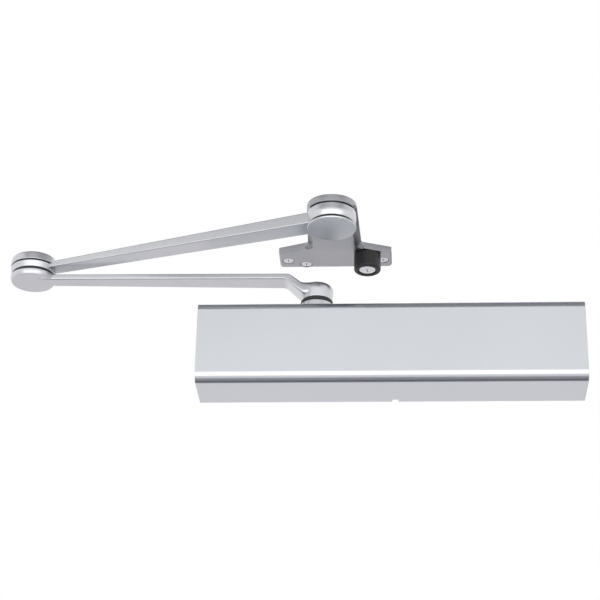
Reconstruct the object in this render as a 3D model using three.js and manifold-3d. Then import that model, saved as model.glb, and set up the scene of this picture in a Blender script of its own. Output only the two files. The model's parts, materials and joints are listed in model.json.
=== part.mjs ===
// Door closer: surface mounted, rack and pinion, with a rigid parallel arm, a soffit shoe with a
// rubber stop, and a full metal cover.
//
// Frame: millimetres, +Z up. The door lies in the plane y = 0, behind the closer, and +Y points
// into it. x = 0 is the pinion's axis, z = 0 is the middle of the cover's height, and the long
// spring end of the body is towards +X. The arms are drawn as they lie with the door shut.

import * as THREE from 'three';
import { mergeVertices } from 'three/addons/utils/BufferGeometryUtils.js';
import Module from 'manifold-3d';

// ---------------------------------------------------------------- driving dimensions

const GAP = 0.3; // between neighbouring pieces that touch on the real object
const PAST = 1; // how far a cutting or buried solid runs on past a face

// Cover: a channel of sheet, open to the door, with a plate in each end.
const COVER_LENGTH = 311;
const COVER_HEIGHT = 69.65;
const COVER_WALL = 2;
const COVER_BEND_RADIUS = 7.65;
const COVER_TO_DOOR = 1.5;
const COVER_END_THICKNESS = 1.6;
const COVER_NOTCH_WIDTH = 4.8;
const COVER_NOTCH_DEPTH = 4;
const COVER_NOTCH_OFFSET = 3.3; // from the middle of the cover
const COVER_SLOT_MARGIN = 1.3; // between the cover's slot and the collar
const COVER_END_SPACE = 0.7; // between an end plate and the casting

// Body casting.
const PINION_FROM_COVER_END = 95.2;
const PINION_FROM_DOOR = 24;
const BORE_RADIUS = 16.5;
const BARREL_WALL = 3.1;
const BARREL_TO_COVER = 0.8;
const WEB_SHARE = 0.7; // half the web's height, as a share of the barrel's radius
const FLANGE_THICKNESS = 8;
const FLANGE_CLEARANCE = 2.6; // flange to the inside of the cover, all round
const BOSS_WALL = 3.5;
const BOSS_TO_COVER = 2.3;
const PLUG_SEAT_STEP = 0.8; // radius of an end plug's seat over the bore

// Mounting screws, two at each end of the flange.
const MOUNTING_SPACING_Z = 19.05;
const MOUNTING_FROM_END = 7.5;
const MOUNTING_TO_BARREL = 2.7; // between a screw's head and the barrel's end
const MOUNTING_SHANK_RADIUS = 3.2;
const MOUNTING_HEAD_RADIUS = 5.8;
const MOUNTING_HEAD_HEIGHT = 3.6;
const MOUNTING_RECESS = { depth: 2, reach: 3.2, half: 0.7 };
const MOUNTING_GRIP = 14; // length of screw in the door

// Rack and pinion.
const GEAR_MODULE = 1.6;
const GEAR_TEETH = 10;
const PRESSURE_ANGLE = THREE.MathUtils.degToRad(25);
const GEAR_ADDENDUM = 0.9; // in modules, as are the next two
const RACK_ADDENDUM = 0.8;
const ROOT_CLEARANCE = 0.25;
const BACKLASH = 0.36;
const FLANK_STEPS = 4;
const GEAR_HEIGHT = 22;
const RACK_EDGE = 0.6; // the rack's teeth stop this far short of the gear's faces
const GEAR_HUB_STEP = 0.2; // the gear's hub is this much under its root
const SWING = Math.PI; // the pinion's whole turn
const JOURNAL_RADIUS = 8;
const PISTON_CLEARANCE = 0.3; // radial, in the bore
const PISTON_HEAD = 13; // solid length at each end of the piston
const SLOT_MARGIN = 1.5; // between the gear's tips and the ends of the piston's slot
const SLOT_BACK_MARGIN = 1; // and the slot's back
const LATCH_CHAMBER = 4.5; // between the piston and the left end plug, door shut
const CHECK_BALL_RADIUS = 2.5;
const CHECK_BALL_LIFT = 2;
const CHECK_SEAT_LENGTH = 3;
const CHECK_POCKET_MARGIN = 0.6; // radius of the pocket over the ball's
const ORIFICE_RADIUS = 1.2;

// Bearings, nuts and seals on the pinion's shaft.
const BEARING_WALL = 2.6;
const BEARING_FROM_BORE = 1;
const NUT_SHOULDER = 2.6; // radius of a nut over the bearing's seat
const NUT_THREAD = 4.725; // length of a nut in the boss
const LOWER_NUT_TO_COVER = 1.2;
const LOWER_NUT_POCKET = 2.6; // depth, under the bearing, for the shaft's end
const SPANNER_HOLE_RADIUS = 1.3;
const SPANNER_HOLE_DEPTH = 2;
const COLLAR_RISE = 6.3; // the upper nut above the cover
const COLLAR_CHAMFER = 0.6;
const SEAL_WALL = 2.3;
const SEAL_HEIGHT = 3.6;
const DUST_SPACE = 3.3; // between the upper nut and the arm's hub

// End plugs, spring and its adjuster.
const PLUG_LENGTH = 10;
const PLUG_SOCKET = { acrossFlats: 12, depth: 5 };
const ORING_RADIUS = 0.9;
const SPRING_WIRE = 5.2;
const SPRING_COILS = 11;
const SPRING_CLEARANCE = 0.7; // radial, in the bore
const SPRING_END_EASE = 0.35; // how closely the end turns are drawn together, from 0 to 1
const SPRING_SEAT_LENGTH = 12;
const SPRING_SPIGOT_LENGTH = 6;
const SPRING_SPIGOT_CLEARANCE = 0.8;
const SPRING_SEAT_CLEARANCE = 0.5;
const SPRING_SEAT_TRAVEL = 15; // from the weakest setting to the strongest
const SPRING_SEAT_STANDOFF = 2; // from the adjuster's collar, at the weakest setting
const ADJUSTER_RADIUS = 5;
const ADJUSTER_COLLAR = 2;
const ADJUSTER_COLLAR_STEP = 3; // radius of the collar over the stem
const ADJUSTER_HEAD = 7;
const ADJUSTER_OVERRUN = 3; // thread left beyond the seat at the strongest setting

// Regulating valves, under the barrel.
const VALVE_RADIUS = 3;
const VALVE_BOSS_RADIUS = 6;
const VALVE_BOSS_TO_COVER = 4.725;
const VALVE_RECESS = 0.6; // the valve's end inside its boss
const VALVE_POINT_LENGTH = 2.4;
const VALVE_POINT_RADIUS = 0.6;
const VALVE_SEAT_WALL = 1.2; // between the valve's hole and the bore
const VALVE_SOCKET = { acrossFlats: 2.6, depth: 2.4 };
const VALVE_PLACES = { latch: -54, sweep: -36, backcheck: 40 };

// Main arm.
const MAIN_ARM_LENGTH = 237.1; // between pivot centres
const HUB_RADIUS = 13.4;
const HUB_HEIGHT = 14;
const HUB_LOWER_CHAMFER = 0.8;
const HUB_UPPER_ROUND = 4;
const DRIVE_CORNER_INSET = 0.222; // the square's corners inside the journal's round
const DRIVE_DROP = 0.6; // the square starts this far under the hub
const HUB_POCKET = 5.5; // depth the arm screw's head is sunk in the hub's top
const SHAFT_TO_SEAT = 1.5;
const STRAP_THICKNESS = 4.7;
const STRAP_WIDTH_HUB = 18.6;
const STRAP_WIDTH_ELBOW = 12.6;
const STRAP_FLARE_INSET = 0.3; // the strap flares to this much inside the hub's side
const STRAP_FLARE_ANGLE = Math.PI / 3; // of the place on the hub that it flares to
const JOGGLE_RISE = 8.3; // strap's top over the hub's top, beside the hub
const STRAP_SLOPE_RISE = 2.9; // further rise of the strap from joggle to elbow
const STRAP_ROOT_LIFT = 2.5; // the strap's underside over the hub's, where it meets the hub
const JOGGLE_LEAN = 3; // the underside's knees lie this much to either side of the top's
const STRAP_PARALLEL = 4; // the strap keeps its full width this far past the joggle
const ELBOW_DISC_STEP = 0.2; // the disc's top over the strap's
const ELBOW_DISC_RADIUS = 18.65;
const ELBOW_DISC_THICKNESS = 4.5;
const STUD_SEAT_SHARE = 0.65; // of the elbow disc's thickness
const ARM_SCREW_RADIUS = 4;
const ARM_SCREW_DEPTH = 16;
const ARM_SCREW_MARGIN = 0.4; // radius of the arm's hole over the shaft's
const ARM_SCREW_HEAD = { acrossFlats: 13, height: 5 };
const ARM_WASHER_RADIUS = 8.4;
const ARM_WASHER_THICKNESS = 1.4;

// Elbow pivot, upwards from the main arm.
const PIVOT_STUD_RADIUS = 6;
const PIVOT_BUSH_WALL = 1.5;
const ELBOW_LOWER_SPACE = 1.7;
const ELBOW_KNUCKLE_RADIUS = 19;
const ELBOW_KNUCKLE_HEIGHT = 5.55;
const UPPER_SPACE = 1.1; // thin washer's space over each knuckle
const ELBOW_CAP_RADIUS = 19.2;
const ELBOW_CAP_HEIGHT = 7.1;
const ELBOW_CAP_CHAMFER = 1;
const ELBOW_STUD_SHARE = 0.6; // of the cap's height that the stud takes
const WASHER_INSET = 1.3; // a thin washer's rim inside the discs'
const DISC_CHAMFER = 0.8;

// Forearm.
const FOREARM_WIDTH_ELBOW = 13.1;
const FOREARM_WIDTH_SHOE = 18.4;
const FOREARM_UNDERCUT = 1.9; // bar's underside over the elbow knuckle's
const FOREARM_SHOULDER = 1.9; // bar's top over the elbow knuckle's
const FOREARM_SHOULDER_SPACE = 1.5; // between the shoulder and the elbow's cap
const FOREARM_SHOULDER_RUN = 4;
const FOREARM_END_UNDERCUT = 0.3; // bar's underside over the shoe knuckle's
const SHOE_KNUCKLE_RADIUS = 19.5;
const SHOE_KNUCKLE_HEIGHT = 10.5;
const SHOE_KNUCKLE_RISE = 2.6; // its underside over the elbow knuckle's

// Soffit shoe.
const SHOE_PIVOT_X = 14.8;
const SHOE_PIVOT_Y = -100;
const SHOE_THICKNESS = 5.6;
const SHOE_PLATE_WIDTH = 93;
const SHOE_BACK_Y = -7.5;
const SHOE_EAR_DEPTH = 24.5;
const SHOE_ROOT_DEPTH = 34;
const SHOE_CORNER = 3;
const LUG_RADIUS = 19.8;
const LUG_ROOT_WIDTH = 44;
const LUG_FLANK_WIDTH = 5.4;
const LUG_FLANK_HEIGHT = 4.2;
const FLANK_START_SHARE = 0.6; // of the lug's radius, from the pivot to the flanks' front ends
const SHOE_CAP_RADIUS = 19.55;
const SHOE_CAP_THICKNESS = 1.2;
const SHOE_CAP_BOSS_RADIUS = 14;
const SHOE_CAP_CHAMFER = 0.6;
const SHOE_LOWER_SPACE = 2.2;
const SHOE_SCREW_RADIUS = 2.6;
const SHOE_SCREW_HEAD_RADIUS = 4.6;
const SHOE_SCREW_CONE = 3; // height of the countersunk head
const SHOE_SCREW_SINK = 0.2; // the head's face inside the plate's
const SHOE_SCREW_POINT = 0.8;
const SHOE_SCREW_RECESS = { width: 4.8, depth: 1.8 };
const SHOE_STUD_COVER = 2; // plate left above the stud
const SHOE_SCREW_LENGTH = 11;
const SHOE_SCREW_PLACES = [[-39.3, -19.1], [-24.6, -12.6], [24.6, -12.6], [39.3, -19.1]];
const BUMPER_RADIUS = 11;
const BUMPER_HEIGHT = 14.4;
const BUMPER_PLACE = [26.6, -27.8]; // from the shoe's pivot in x, from the door in y
const BUMPER_POCKET = 5;
const BUMPER_ROUND = 1.2;
const BUMPER_UPPER_CHAMFER = 0.8;
const BUMPER_SCREW_RADIUS = 3;
const BUMPER_SCREW_HEAD_RADIUS = 7.2;
const BUMPER_SCREW_FACE = 4.3; // radius of the flat in the middle of its domed head
const BUMPER_SCREW_DOME = 1.4;
const BUMPER_SCREW_SINK = 0.6;
const BUMPER_SCREW_RECESS = { width: 6.4, depth: 2.4 };
const BUMPER_SCREW_COVER = 1; // plate left above the screw's end

// Cover clips, two above and two below the barrel.
const CLIP_SHEET = 1;
const CLIP_WIDTH = 14;
const CLIP_REACH = 13;
const CLIP_PLACES = [-42, 120];
const CLIP_SCREW_RADIUS = 1.9;
const CLIP_SCREW_HEAD_STEP = 1.4; // radius of the head over the shank
const CLIP_SCREW_HEAD_HEIGHT = 1.8;
const CLIP_SCREW_TO_TONGUE = 2.3;
const CLIP_FOOT_MARGIN = 2.2; // sheet beyond the screw's hole
const CLIP_HOLE_FROM_DOOR = 1.5;

// ---------------------------------------------------------------- places worked out from them

const COVER_LEFT = -PINION_FROM_COVER_END;
const COVER_RIGHT = COVER_LEFT + COVER_LENGTH;
const COVER_MIDDLE = (COVER_LEFT + COVER_RIGHT) / 2;
const COVER_TOP = COVER_HEIGHT / 2;
const COVER_INSIDE = COVER_TOP - COVER_WALL;

const AXIS_Y = -PINION_FROM_DOOR;
const BARREL_RADIUS = BORE_RADIUS + BARREL_WALL;
const COVER_FRONT = AXIS_Y - BARREL_RADIUS - BARREL_TO_COVER - COVER_WALL;
const FLANGE_LEFT = COVER_LEFT + COVER_END_THICKNESS + COVER_END_SPACE;
const FLANGE_RIGHT = COVER_RIGHT - COVER_END_THICKNESS - COVER_END_SPACE;
const FLANGE_TOP = COVER_INSIDE - FLANGE_CLEARANCE;
const LUG_LENGTH = MOUNTING_FROM_END + MOUNTING_HEAD_RADIUS + MOUNTING_TO_BARREL;
const BARREL_LEFT = FLANGE_LEFT + LUG_LENGTH;
const BARREL_RIGHT = FLANGE_RIGHT - LUG_LENGTH;
const BOSS_TOP = COVER_INSIDE - BOSS_TO_COVER;
const PLUG_SEAT = BORE_RADIUS + PLUG_SEAT_STEP;

const PITCH_RADIUS = GEAR_MODULE * GEAR_TEETH / 2;
const RACK_PITCH = Math.PI * GEAR_MODULE;
const TRAVEL = PITCH_RADIUS * SWING;
const GEAR_TIP = PITCH_RADIUS + GEAR_ADDENDUM * GEAR_MODULE;
const GEAR_ROOT = PITCH_RADIUS - (RACK_ADDENDUM + ROOT_CLEARANCE) * GEAR_MODULE;
const PISTON_RADIUS = BORE_RADIUS - PISTON_CLEARANCE;
const SLOT_LEFT = -TRAVEL - GEAR_TIP - SLOT_MARGIN;
const SLOT_RIGHT = GEAR_TIP + SLOT_MARGIN;
const PISTON_LEFT = SLOT_LEFT - PISTON_HEAD;
const PISTON_RIGHT = SLOT_RIGHT + PISTON_HEAD;
const LEFT_PLUG_FACE = Math.min(PISTON_LEFT - LATCH_CHAMBER, BARREL_LEFT + PLUG_LENGTH);

const BEARING_RADIUS = JOURNAL_RADIUS + BEARING_WALL;
const BEARING_LOW = BORE_RADIUS + BEARING_FROM_BORE;
const NUT_RADIUS = BEARING_RADIUS + NUT_SHOULDER;
const NUT_LOW = BOSS_TOP - NUT_THREAD;
const BEARING_HEIGHT = NUT_LOW - GAP - BEARING_LOW;
const NUT_SEAT = NUT_RADIUS + GAP;
const BOSS_RADIUS = NUT_SEAT + BOSS_WALL;
const COLLAR_TOP = COVER_TOP + COLLAR_RISE;
const SHAFT_HOLE = JOURNAL_RADIUS + GAP;
const SEAL_RADIUS = SHAFT_HOLE + SEAL_WALL;
const DRIVE_SQUARE = Math.SQRT2 * (JOURNAL_RADIUS - DRIVE_CORNER_INSET);

const HUB_LOW = COLLAR_TOP + DUST_SPACE;
const HUB_TOP = HUB_LOW + HUB_HEIGHT;
const STRAP_TOP_HUB = HUB_TOP + JOGGLE_RISE;
const STRAP_TOP_ELBOW = STRAP_TOP_HUB + STRAP_SLOPE_RISE;
const ELBOW_DISC_TOP = STRAP_TOP_ELBOW + ELBOW_DISC_STEP;
const ELBOW_DISC_LOW = ELBOW_DISC_TOP - ELBOW_DISC_THICKNESS;

const BUSH_RADIUS = PIVOT_STUD_RADIUS + GAP + PIVOT_BUSH_WALL;
const KNUCKLE_BORE = BUSH_RADIUS + GAP;
const ELBOW_KNUCKLE_LOW = ELBOW_DISC_TOP + ELBOW_LOWER_SPACE;
const ELBOW_KNUCKLE_TOP = ELBOW_KNUCKLE_LOW + ELBOW_KNUCKLE_HEIGHT;
const ELBOW_CAP_LOW = ELBOW_KNUCKLE_TOP + UPPER_SPACE;
const ELBOW_CAP_TOP = ELBOW_CAP_LOW + ELBOW_CAP_HEIGHT;
const SHOE_KNUCKLE_LOW = ELBOW_KNUCKLE_LOW + SHOE_KNUCKLE_RISE;
const SHOE_KNUCKLE_TOP = SHOE_KNUCKLE_LOW + SHOE_KNUCKLE_HEIGHT;
const SHOE_LOW = SHOE_KNUCKLE_TOP + UPPER_SPACE;
const SHOE_TOP = SHOE_LOW + SHOE_THICKNESS;
const SHOE_CAP_TOP = SHOE_KNUCKLE_LOW - SHOE_LOWER_SPACE;
const SHOE_CAP_LOW = SHOE_CAP_TOP - SHOE_CAP_THICKNESS;

const ELBOW_X = -MAIN_ARM_LENGTH;
const FOREARM_RUN = new THREE.Vector2(SHOE_PIVOT_X - ELBOW_X, SHOE_PIVOT_Y - AXIS_Y);
const FOREARM_LENGTH = FOREARM_RUN.length();
const FOREARM_ANGLE = FOREARM_RUN.angle();

// ---------------------------------------------------------------- solids

const wasm = await Module();
wasm.setup();

// The solid that a closed geometry bounds, with its shared corners merged.
function solidOf(geometry) {
  const bare = geometry.clone();
  bare.deleteAttribute('normal');
  bare.deleteAttribute('uv');
  const merged = mergeVertices(bare, 1e-4);
  return new wasm.Manifold(new wasm.Mesh({
    numProp: 3,
    vertProperties: merged.getAttribute('position').array,
    triVerts: new Uint32Array(merged.index.array),
  }));
}

// The geometry of a solid's surface.
function surfaceOf(solid) {
  const mesh = solid.getMesh();
  const geometry = new THREE.BufferGeometry();
  geometry.setAttribute('position', new THREE.BufferAttribute(mesh.vertProperties, 3));
  geometry.setIndex(new THREE.BufferAttribute(mesh.triVerts, 1));
  return geometry;
}

function join(first, ...others) {
  return others.reduce((sum, other) => sum.add(other), first);
}

function cut(first, ...others) {
  return others.reduce((rest, other) => rest.subtract(other), first);
}

// A box between two corners.
function block([x0, y0, z0], [x1, y1, z1]) {
  const geometry = new THREE.BoxGeometry(x1 - x0, y1 - y0, z1 - z0);
  geometry.translate((x0 + x1) / 2, (y0 + y1) / 2, (z0 + z1) / 2);
  return solidOf(geometry);
}

// A profile of [radius, height] points, from the axis back to the axis or closed on itself,
// turned about the upright line through x, y.
function turned(profile, x = 0, y = 0, sides = 24) {
  const points = profile.map(([radius, height]) => new THREE.Vector2(radius, height));
  const geometry = new THREE.LatheGeometry(points, sides);
  geometry.rotateX(Math.PI / 2);
  geometry.translate(x, y, 0);
  return solidOf(geometry);
}

// An upright cylinder from one height to another.
function post(radius, low, high, x = 0, y = 0, sides = 24) {
  return turned([[0, low], [radius, low], [radius, high], [0, high]], x, y, sides);
}

// An upright tube, or washer.
function sleeve(inner, outer, low, high, x = 0, y = 0, sides = 24) {
  const section = [[inner, low], [outer, low], [outer, high], [inner, high], [inner, low]];
  return turned(section, x, y, sides);
}

// A profile turned about a line along X through the barrel's axis: heights become x.
function turnedAlongX(profile, sides = 24) {
  const points = profile.map(([radius, along]) => new THREE.Vector2(radius, along));
  const geometry = new THREE.LatheGeometry(points, sides);
  geometry.rotateZ(-Math.PI / 2);
  geometry.translate(0, AXIS_Y, 0);
  return solidOf(geometry);
}

function rod(radius, from, to, sides = 28) {
  return turnedAlongX([[0, from], [radius, from], [radius, to], [0, to]], sides);
}

// A shape in the x, y plane raised from one height to another.
function raised(shape, low, high, curveSegments = 8) {
  const settings = { depth: high - low, bevelEnabled: false, curveSegments };
  const geometry = new THREE.ExtrudeGeometry(shape, settings);
  geometry.translate(0, 0, low);
  return solidOf(geometry);
}

function outline(points) {
  return new THREE.Shape(points.map(([x, y]) => new THREE.Vector2(x, y)));
}

// A side view in x, z, carried across from y = near to y = far.
function sideView(points, near, far) {
  const settings = { depth: far - near, bevelEnabled: false };
  const geometry = new THREE.ExtrudeGeometry(outline(points), settings);
  geometry.rotateX(Math.PI / 2);
  geometry.translate(0, far, 0);
  return solidOf(geometry);
}

// An end view in y, z, carried along from x = from to x = to.
function endView(shape, from, to, curveSegments = 6) {
  const settings = { depth: to - from, bevelEnabled: false, curveSegments };
  const geometry = new THREE.ExtrudeGeometry(shape, settings);
  geometry.rotateZ(Math.PI / 2);
  geometry.rotateY(Math.PI / 2);
  geometry.translate(from, 0, 0);
  return solidOf(geometry);
}

// A regular prism standing upright, its size given across flats.
function prism(sides, acrossFlats, low, high, x = 0, y = 0, turn = 0) {
  const corner = acrossFlats / 2 / Math.cos(Math.PI / sides);
  const geometry = new THREE.CylinderGeometry(corner, corner, high - low, sides);
  geometry.rotateX(Math.PI / 2);
  geometry.rotateZ(turn);
  geometry.translate(x, y, (low + high) / 2);
  return solidOf(geometry);
}

// A cross recess cut upwards into a head, from below.
function crossRecess(size, low, high, x, y) {
  const half = size / 2;
  const slot = size / 8;
  const along = block([x - half, y - slot, low], [x + half, y + slot, high]);
  const across = block([x - slot, y - half, low], [x + slot, y + half, high]);
  return join(along, across);
}

// ---------------------------------------------------------------- materials

function finish(color, metalness, roughness) {
  return new THREE.MeshStandardMaterial({ color, metalness, roughness });
}

const coverPaint = finish('#cfd1d4', 0.85, 0.42);
const armPaint = finish('#b9bbc0', 0.85, 0.38);
const castAluminium = finish('#a9acb0', 0.9, 0.55);
const machinedSteel = finish('#b4b6ba', 1, 0.3);
const zincPlate = finish('#d5d8dc', 1, 0.25);
const darkSteel = finish('#4a4c50', 0.9, 0.5);
const bronze = finish('#a07d4c', 0.95, 0.4);
const blackRubber = finish('#1b1b1c', 0, 0.75);
const blackNylon = finish('#242528', 0, 0.55);
const springSteel = finish('#3f4348', 0.85, 0.45);

const closer = new THREE.Group();

function add(name, solid, material, parent = closer) {
  const mesh = new THREE.Mesh(surfaceOf(solid), material);
  mesh.name = name;
  parent.add(mesh);
  return mesh;
}

// ---------------------------------------------------------------- cover

// The channel's outer or inner outline in y, z: bent corners at the front, square at the back.
function channelOutline(halfHeight, front, back, radius) {
  const shape = new THREE.Shape();
  shape.moveTo(back, -halfHeight);
  shape.lineTo(back, halfHeight);
  shape.lineTo(front + radius, halfHeight);
  shape.absarc(front + radius, halfHeight - radius, radius, Math.PI / 2, Math.PI, false);
  shape.lineTo(front, -halfHeight + radius);
  shape.absarc(front + radius, -halfHeight + radius, radius, Math.PI, Math.PI * 1.5, false);
  shape.closePath();
  return shape;
}

const SMALLEST_ROUND = 0.5;

function makeCover() {
  const bend = COVER_BEND_RADIUS;
  const inner = Math.max(bend - COVER_WALL, SMALLEST_ROUND);
  const innerFront = COVER_FRONT + COVER_WALL;
  const skin = channelOutline(COVER_TOP, COVER_FRONT, -COVER_TO_DOOR, bend);
  const hollow = channelOutline(COVER_INSIDE, innerFront, PAST, inner);
  const slotHalf = NUT_RADIUS + COVER_SLOT_MARGIN;
  const slotLow = COVER_INSIDE - PAST;
  const slotHigh = COVER_TOP + PAST;
  const notchX = COVER_MIDDLE + COVER_NOTCH_OFFSET;
  const notchFront = -COVER_TO_DOOR - COVER_NOTCH_DEPTH;
  return cut(
    endView(skin, COVER_LEFT, COVER_RIGHT),
    endView(hollow, COVER_LEFT - PAST, COVER_RIGHT + PAST),
    post(slotHalf, slotLow, slotHigh, 0, AXIS_Y),
    block([-slotHalf, AXIS_Y, slotLow], [slotHalf, PAST, slotHigh]),
    block(
      [notchX - COVER_NOTCH_WIDTH / 2, notchFront, -COVER_TOP - PAST],
      [notchX + COVER_NOTCH_WIDTH / 2, PAST, -COVER_INSIDE + PAST],
    ),
  );
}

// An end plate, set just inside the channel.
function makeCoverEnd(from) {
  const inner = Math.max(COVER_BEND_RADIUS - COVER_WALL - GAP, SMALLEST_ROUND);
  const front = COVER_FRONT + COVER_WALL + GAP;
  const plate = channelOutline(COVER_INSIDE - GAP, front, -COVER_TO_DOOR, inner);
  return endView(plate, from, from + COVER_END_THICKNESS);
}

add('cover', makeCover(), coverPaint);
add('cover_end_left', makeCoverEnd(COVER_LEFT), coverPaint);
add('cover_end_right', makeCoverEnd(COVER_RIGHT - COVER_END_THICKNESS), coverPaint);

// ---------------------------------------------------------------- body casting

const VALVE_LOW = -COVER_INSIDE + VALVE_BOSS_TO_COVER;
const VALVE_HOLE_TOP = -BORE_RADIUS - VALVE_SEAT_WALL;
const MOUNTING_PLACES = [FLANGE_LEFT + MOUNTING_FROM_END, FLANGE_RIGHT - MOUNTING_FROM_END]
  .flatMap((x) => [[x, MOUNTING_SPACING_Z / 2], [x, -MOUNTING_SPACING_Z / 2]]);

// A cylinder along Y, from nearer the viewer to nearer the door.
function peg(radius, near, far, x, z, sides = 14) {
  const geometry = new THREE.CylinderGeometry(radius, radius, far - near, sides);
  geometry.translate(x, (near + far) / 2, z);
  return solidOf(geometry);
}

function makeBodyCasting() {
  const webHalf = BARREL_RADIUS * WEB_SHARE;
  const front = -FLANGE_THICKNESS;
  const flange = block([FLANGE_LEFT, front, -FLANGE_TOP], [FLANGE_RIGHT, 0, FLANGE_TOP]);
  const web = block([BARREL_LEFT, AXIS_Y, -webHalf], [BARREL_RIGHT, -PAST, webHalf]);
  const valveBosses = Object.values(VALVE_PLACES)
    .map((x) => post(VALVE_BOSS_RADIUS, VALVE_LOW, 0, x, AXIS_Y, 14));
  const outside = join(
    flange,
    web,
    rod(BARREL_RADIUS, BARREL_LEFT, BARREL_RIGHT),
    post(BOSS_RADIUS, -BOSS_TOP, BOSS_TOP, 0, AXIS_Y, 28),
    ...valveBosses,
  );
  const valveHoles = Object.values(VALVE_PLACES).flatMap((x) => [
    post(VALVE_RADIUS + GAP, VALVE_LOW - PAST, VALVE_HOLE_TOP, x, AXIS_Y, 14),
    post(ORIFICE_RADIUS, VALVE_HOLE_TOP - PAST, 0, x, AXIS_Y, 8),
  ]);
  const mountingHoles = MOUNTING_PLACES
    .map(([x, z]) => peg(MOUNTING_SHANK_RADIUS + GAP, front - PAST, PAST, x, z));
  const clipHoles = clipPlaces().map(([x, side]) => (
    peg(CLIP_SCREW_RADIUS + GAP, front - PAST, -CLIP_HOLE_FROM_DOOR, x, side * CLIP_Z, 10)
  ));
  return cut(
    outside,
    rod(BORE_RADIUS, BARREL_LEFT - PAST, BARREL_RIGHT + PAST),
    rod(PLUG_SEAT, BARREL_LEFT - PAST, LEFT_PLUG_FACE + GAP),
    rod(PLUG_SEAT, BARREL_RIGHT - PLUG_LENGTH - GAP, BARREL_RIGHT + PAST),
    post(BEARING_RADIUS, -NUT_LOW, NUT_LOW, 0, AXIS_Y),
    post(NUT_SEAT, NUT_LOW - GAP, BOSS_TOP + PAST, 0, AXIS_Y),
    post(NUT_SEAT, -BOSS_TOP - PAST, -NUT_LOW + GAP, 0, AXIS_Y),
    ...valveHoles,
    ...mountingHoles,
    ...clipHoles,
  );
}

// ---------------------------------------------------------------- cover clips

const CLIP_HEAD_RADIUS = CLIP_SCREW_RADIUS + CLIP_SCREW_HEAD_STEP;
const CLIP_TONGUE = COVER_INSIDE - GAP - CLIP_SHEET;
const CLIP_Z = CLIP_TONGUE - CLIP_SCREW_TO_TONGUE - CLIP_HEAD_RADIUS;

function clipPlaces() {
  return CLIP_PLACES.flatMap((x) => [[x, 1], [x, -1]]);
}

// An angle of spring sheet: its foot lies on the flange and its tongue along the cover's flange.
function makeClip(x, side) {
  const footBack = -FLANGE_THICKNESS - GAP;
  const footFront = footBack - CLIP_SHEET;
  const tongueOut = CLIP_TONGUE + CLIP_SHEET;
  const footEdge = CLIP_Z - CLIP_SCREW_RADIUS - CLIP_FOOT_MARGIN;
  const left = x - CLIP_WIDTH / 2;
  const right = x + CLIP_WIDTH / 2;
  const low = Math.min(side * footEdge, side * tongueOut);
  const high = Math.max(side * footEdge, side * tongueOut);
  const tongueLow = Math.min(side * CLIP_TONGUE, side * tongueOut);
  const tongueHigh = Math.max(side * CLIP_TONGUE, side * tongueOut);
  return cut(
    join(
      block([left, footFront, low], [right, footBack, high]),
      block([left, footFront - CLIP_REACH, tongueLow], [right, footBack, tongueHigh]),
    ),
    peg(CLIP_SCREW_RADIUS + GAP, footFront - PAST, footBack + PAST, x, side * CLIP_Z, 10),
  );
}

function makeClipScrew(x, side) {
  const seat = -FLANGE_THICKNESS - GAP - CLIP_SHEET - GAP;
  const tip = -CLIP_HOLE_FROM_DOOR - GAP;
  return join(
    peg(CLIP_SCREW_RADIUS, seat - PAST, tip, x, side * CLIP_Z, 10),
    peg(CLIP_HEAD_RADIUS, seat - CLIP_SCREW_HEAD_HEIGHT, seat, x, side * CLIP_Z),
  );
}

add('body_casting', makeBodyCasting(), castAluminium);
clipPlaces().forEach(([x, side], index) => {
  add(`cover_clip_${index + 1}`, makeClip(x, side), springSteel);
  add(`clip_screw_${index + 1}`, makeClipScrew(x, side), zincPlate);
});

// ---------------------------------------------------------------- mounting screws

function makeMountingScrew(x, z) {
  const seat = -FLANGE_THICKNESS - GAP;
  const front = seat - MOUNTING_HEAD_HEIGHT;
  const head = peg(MOUNTING_HEAD_RADIUS, front, seat, x, z, 18);
  const { depth, reach, half } = MOUNTING_RECESS;
  return cut(
    join(head, peg(MOUNTING_SHANK_RADIUS, seat - PAST, MOUNTING_GRIP, x, z)),
    block([x - reach, front - PAST, z - half], [x + reach, front + depth, z + half]),
    block([x - half, front - PAST, z - reach], [x + half, front + depth, z + reach]),
  );
}

MOUNTING_PLACES.forEach(([x, z], index) => {
  add(`mounting_screw_${index + 1}`, makeMountingScrew(x, z), zincPlate);
});

// ---------------------------------------------------------------- bearings, nuts and seals

function makeBearing(low) {
  return sleeve(SHAFT_HOLE, BEARING_RADIUS - GAP, low, low + BEARING_HEIGHT, 0, AXIS_Y);
}

// The upper nut: a gland that stands up through the cover as a collar and holds the seal.
function makeUpperNut() {
  const sealSeat = COLLAR_TOP - SEAL_HEIGHT;
  return turned([
    [SHAFT_HOLE, NUT_LOW],
    [NUT_RADIUS, NUT_LOW],
    [NUT_RADIUS, COLLAR_TOP - COLLAR_CHAMFER],
    [NUT_RADIUS - COLLAR_CHAMFER, COLLAR_TOP],
    [SEAL_RADIUS, COLLAR_TOP],
    [SEAL_RADIUS, sealSeat],
    [SHAFT_HOLE, sealSeat],
    [SHAFT_HOLE, NUT_LOW],
  ], 0, AXIS_Y);
}

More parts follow.
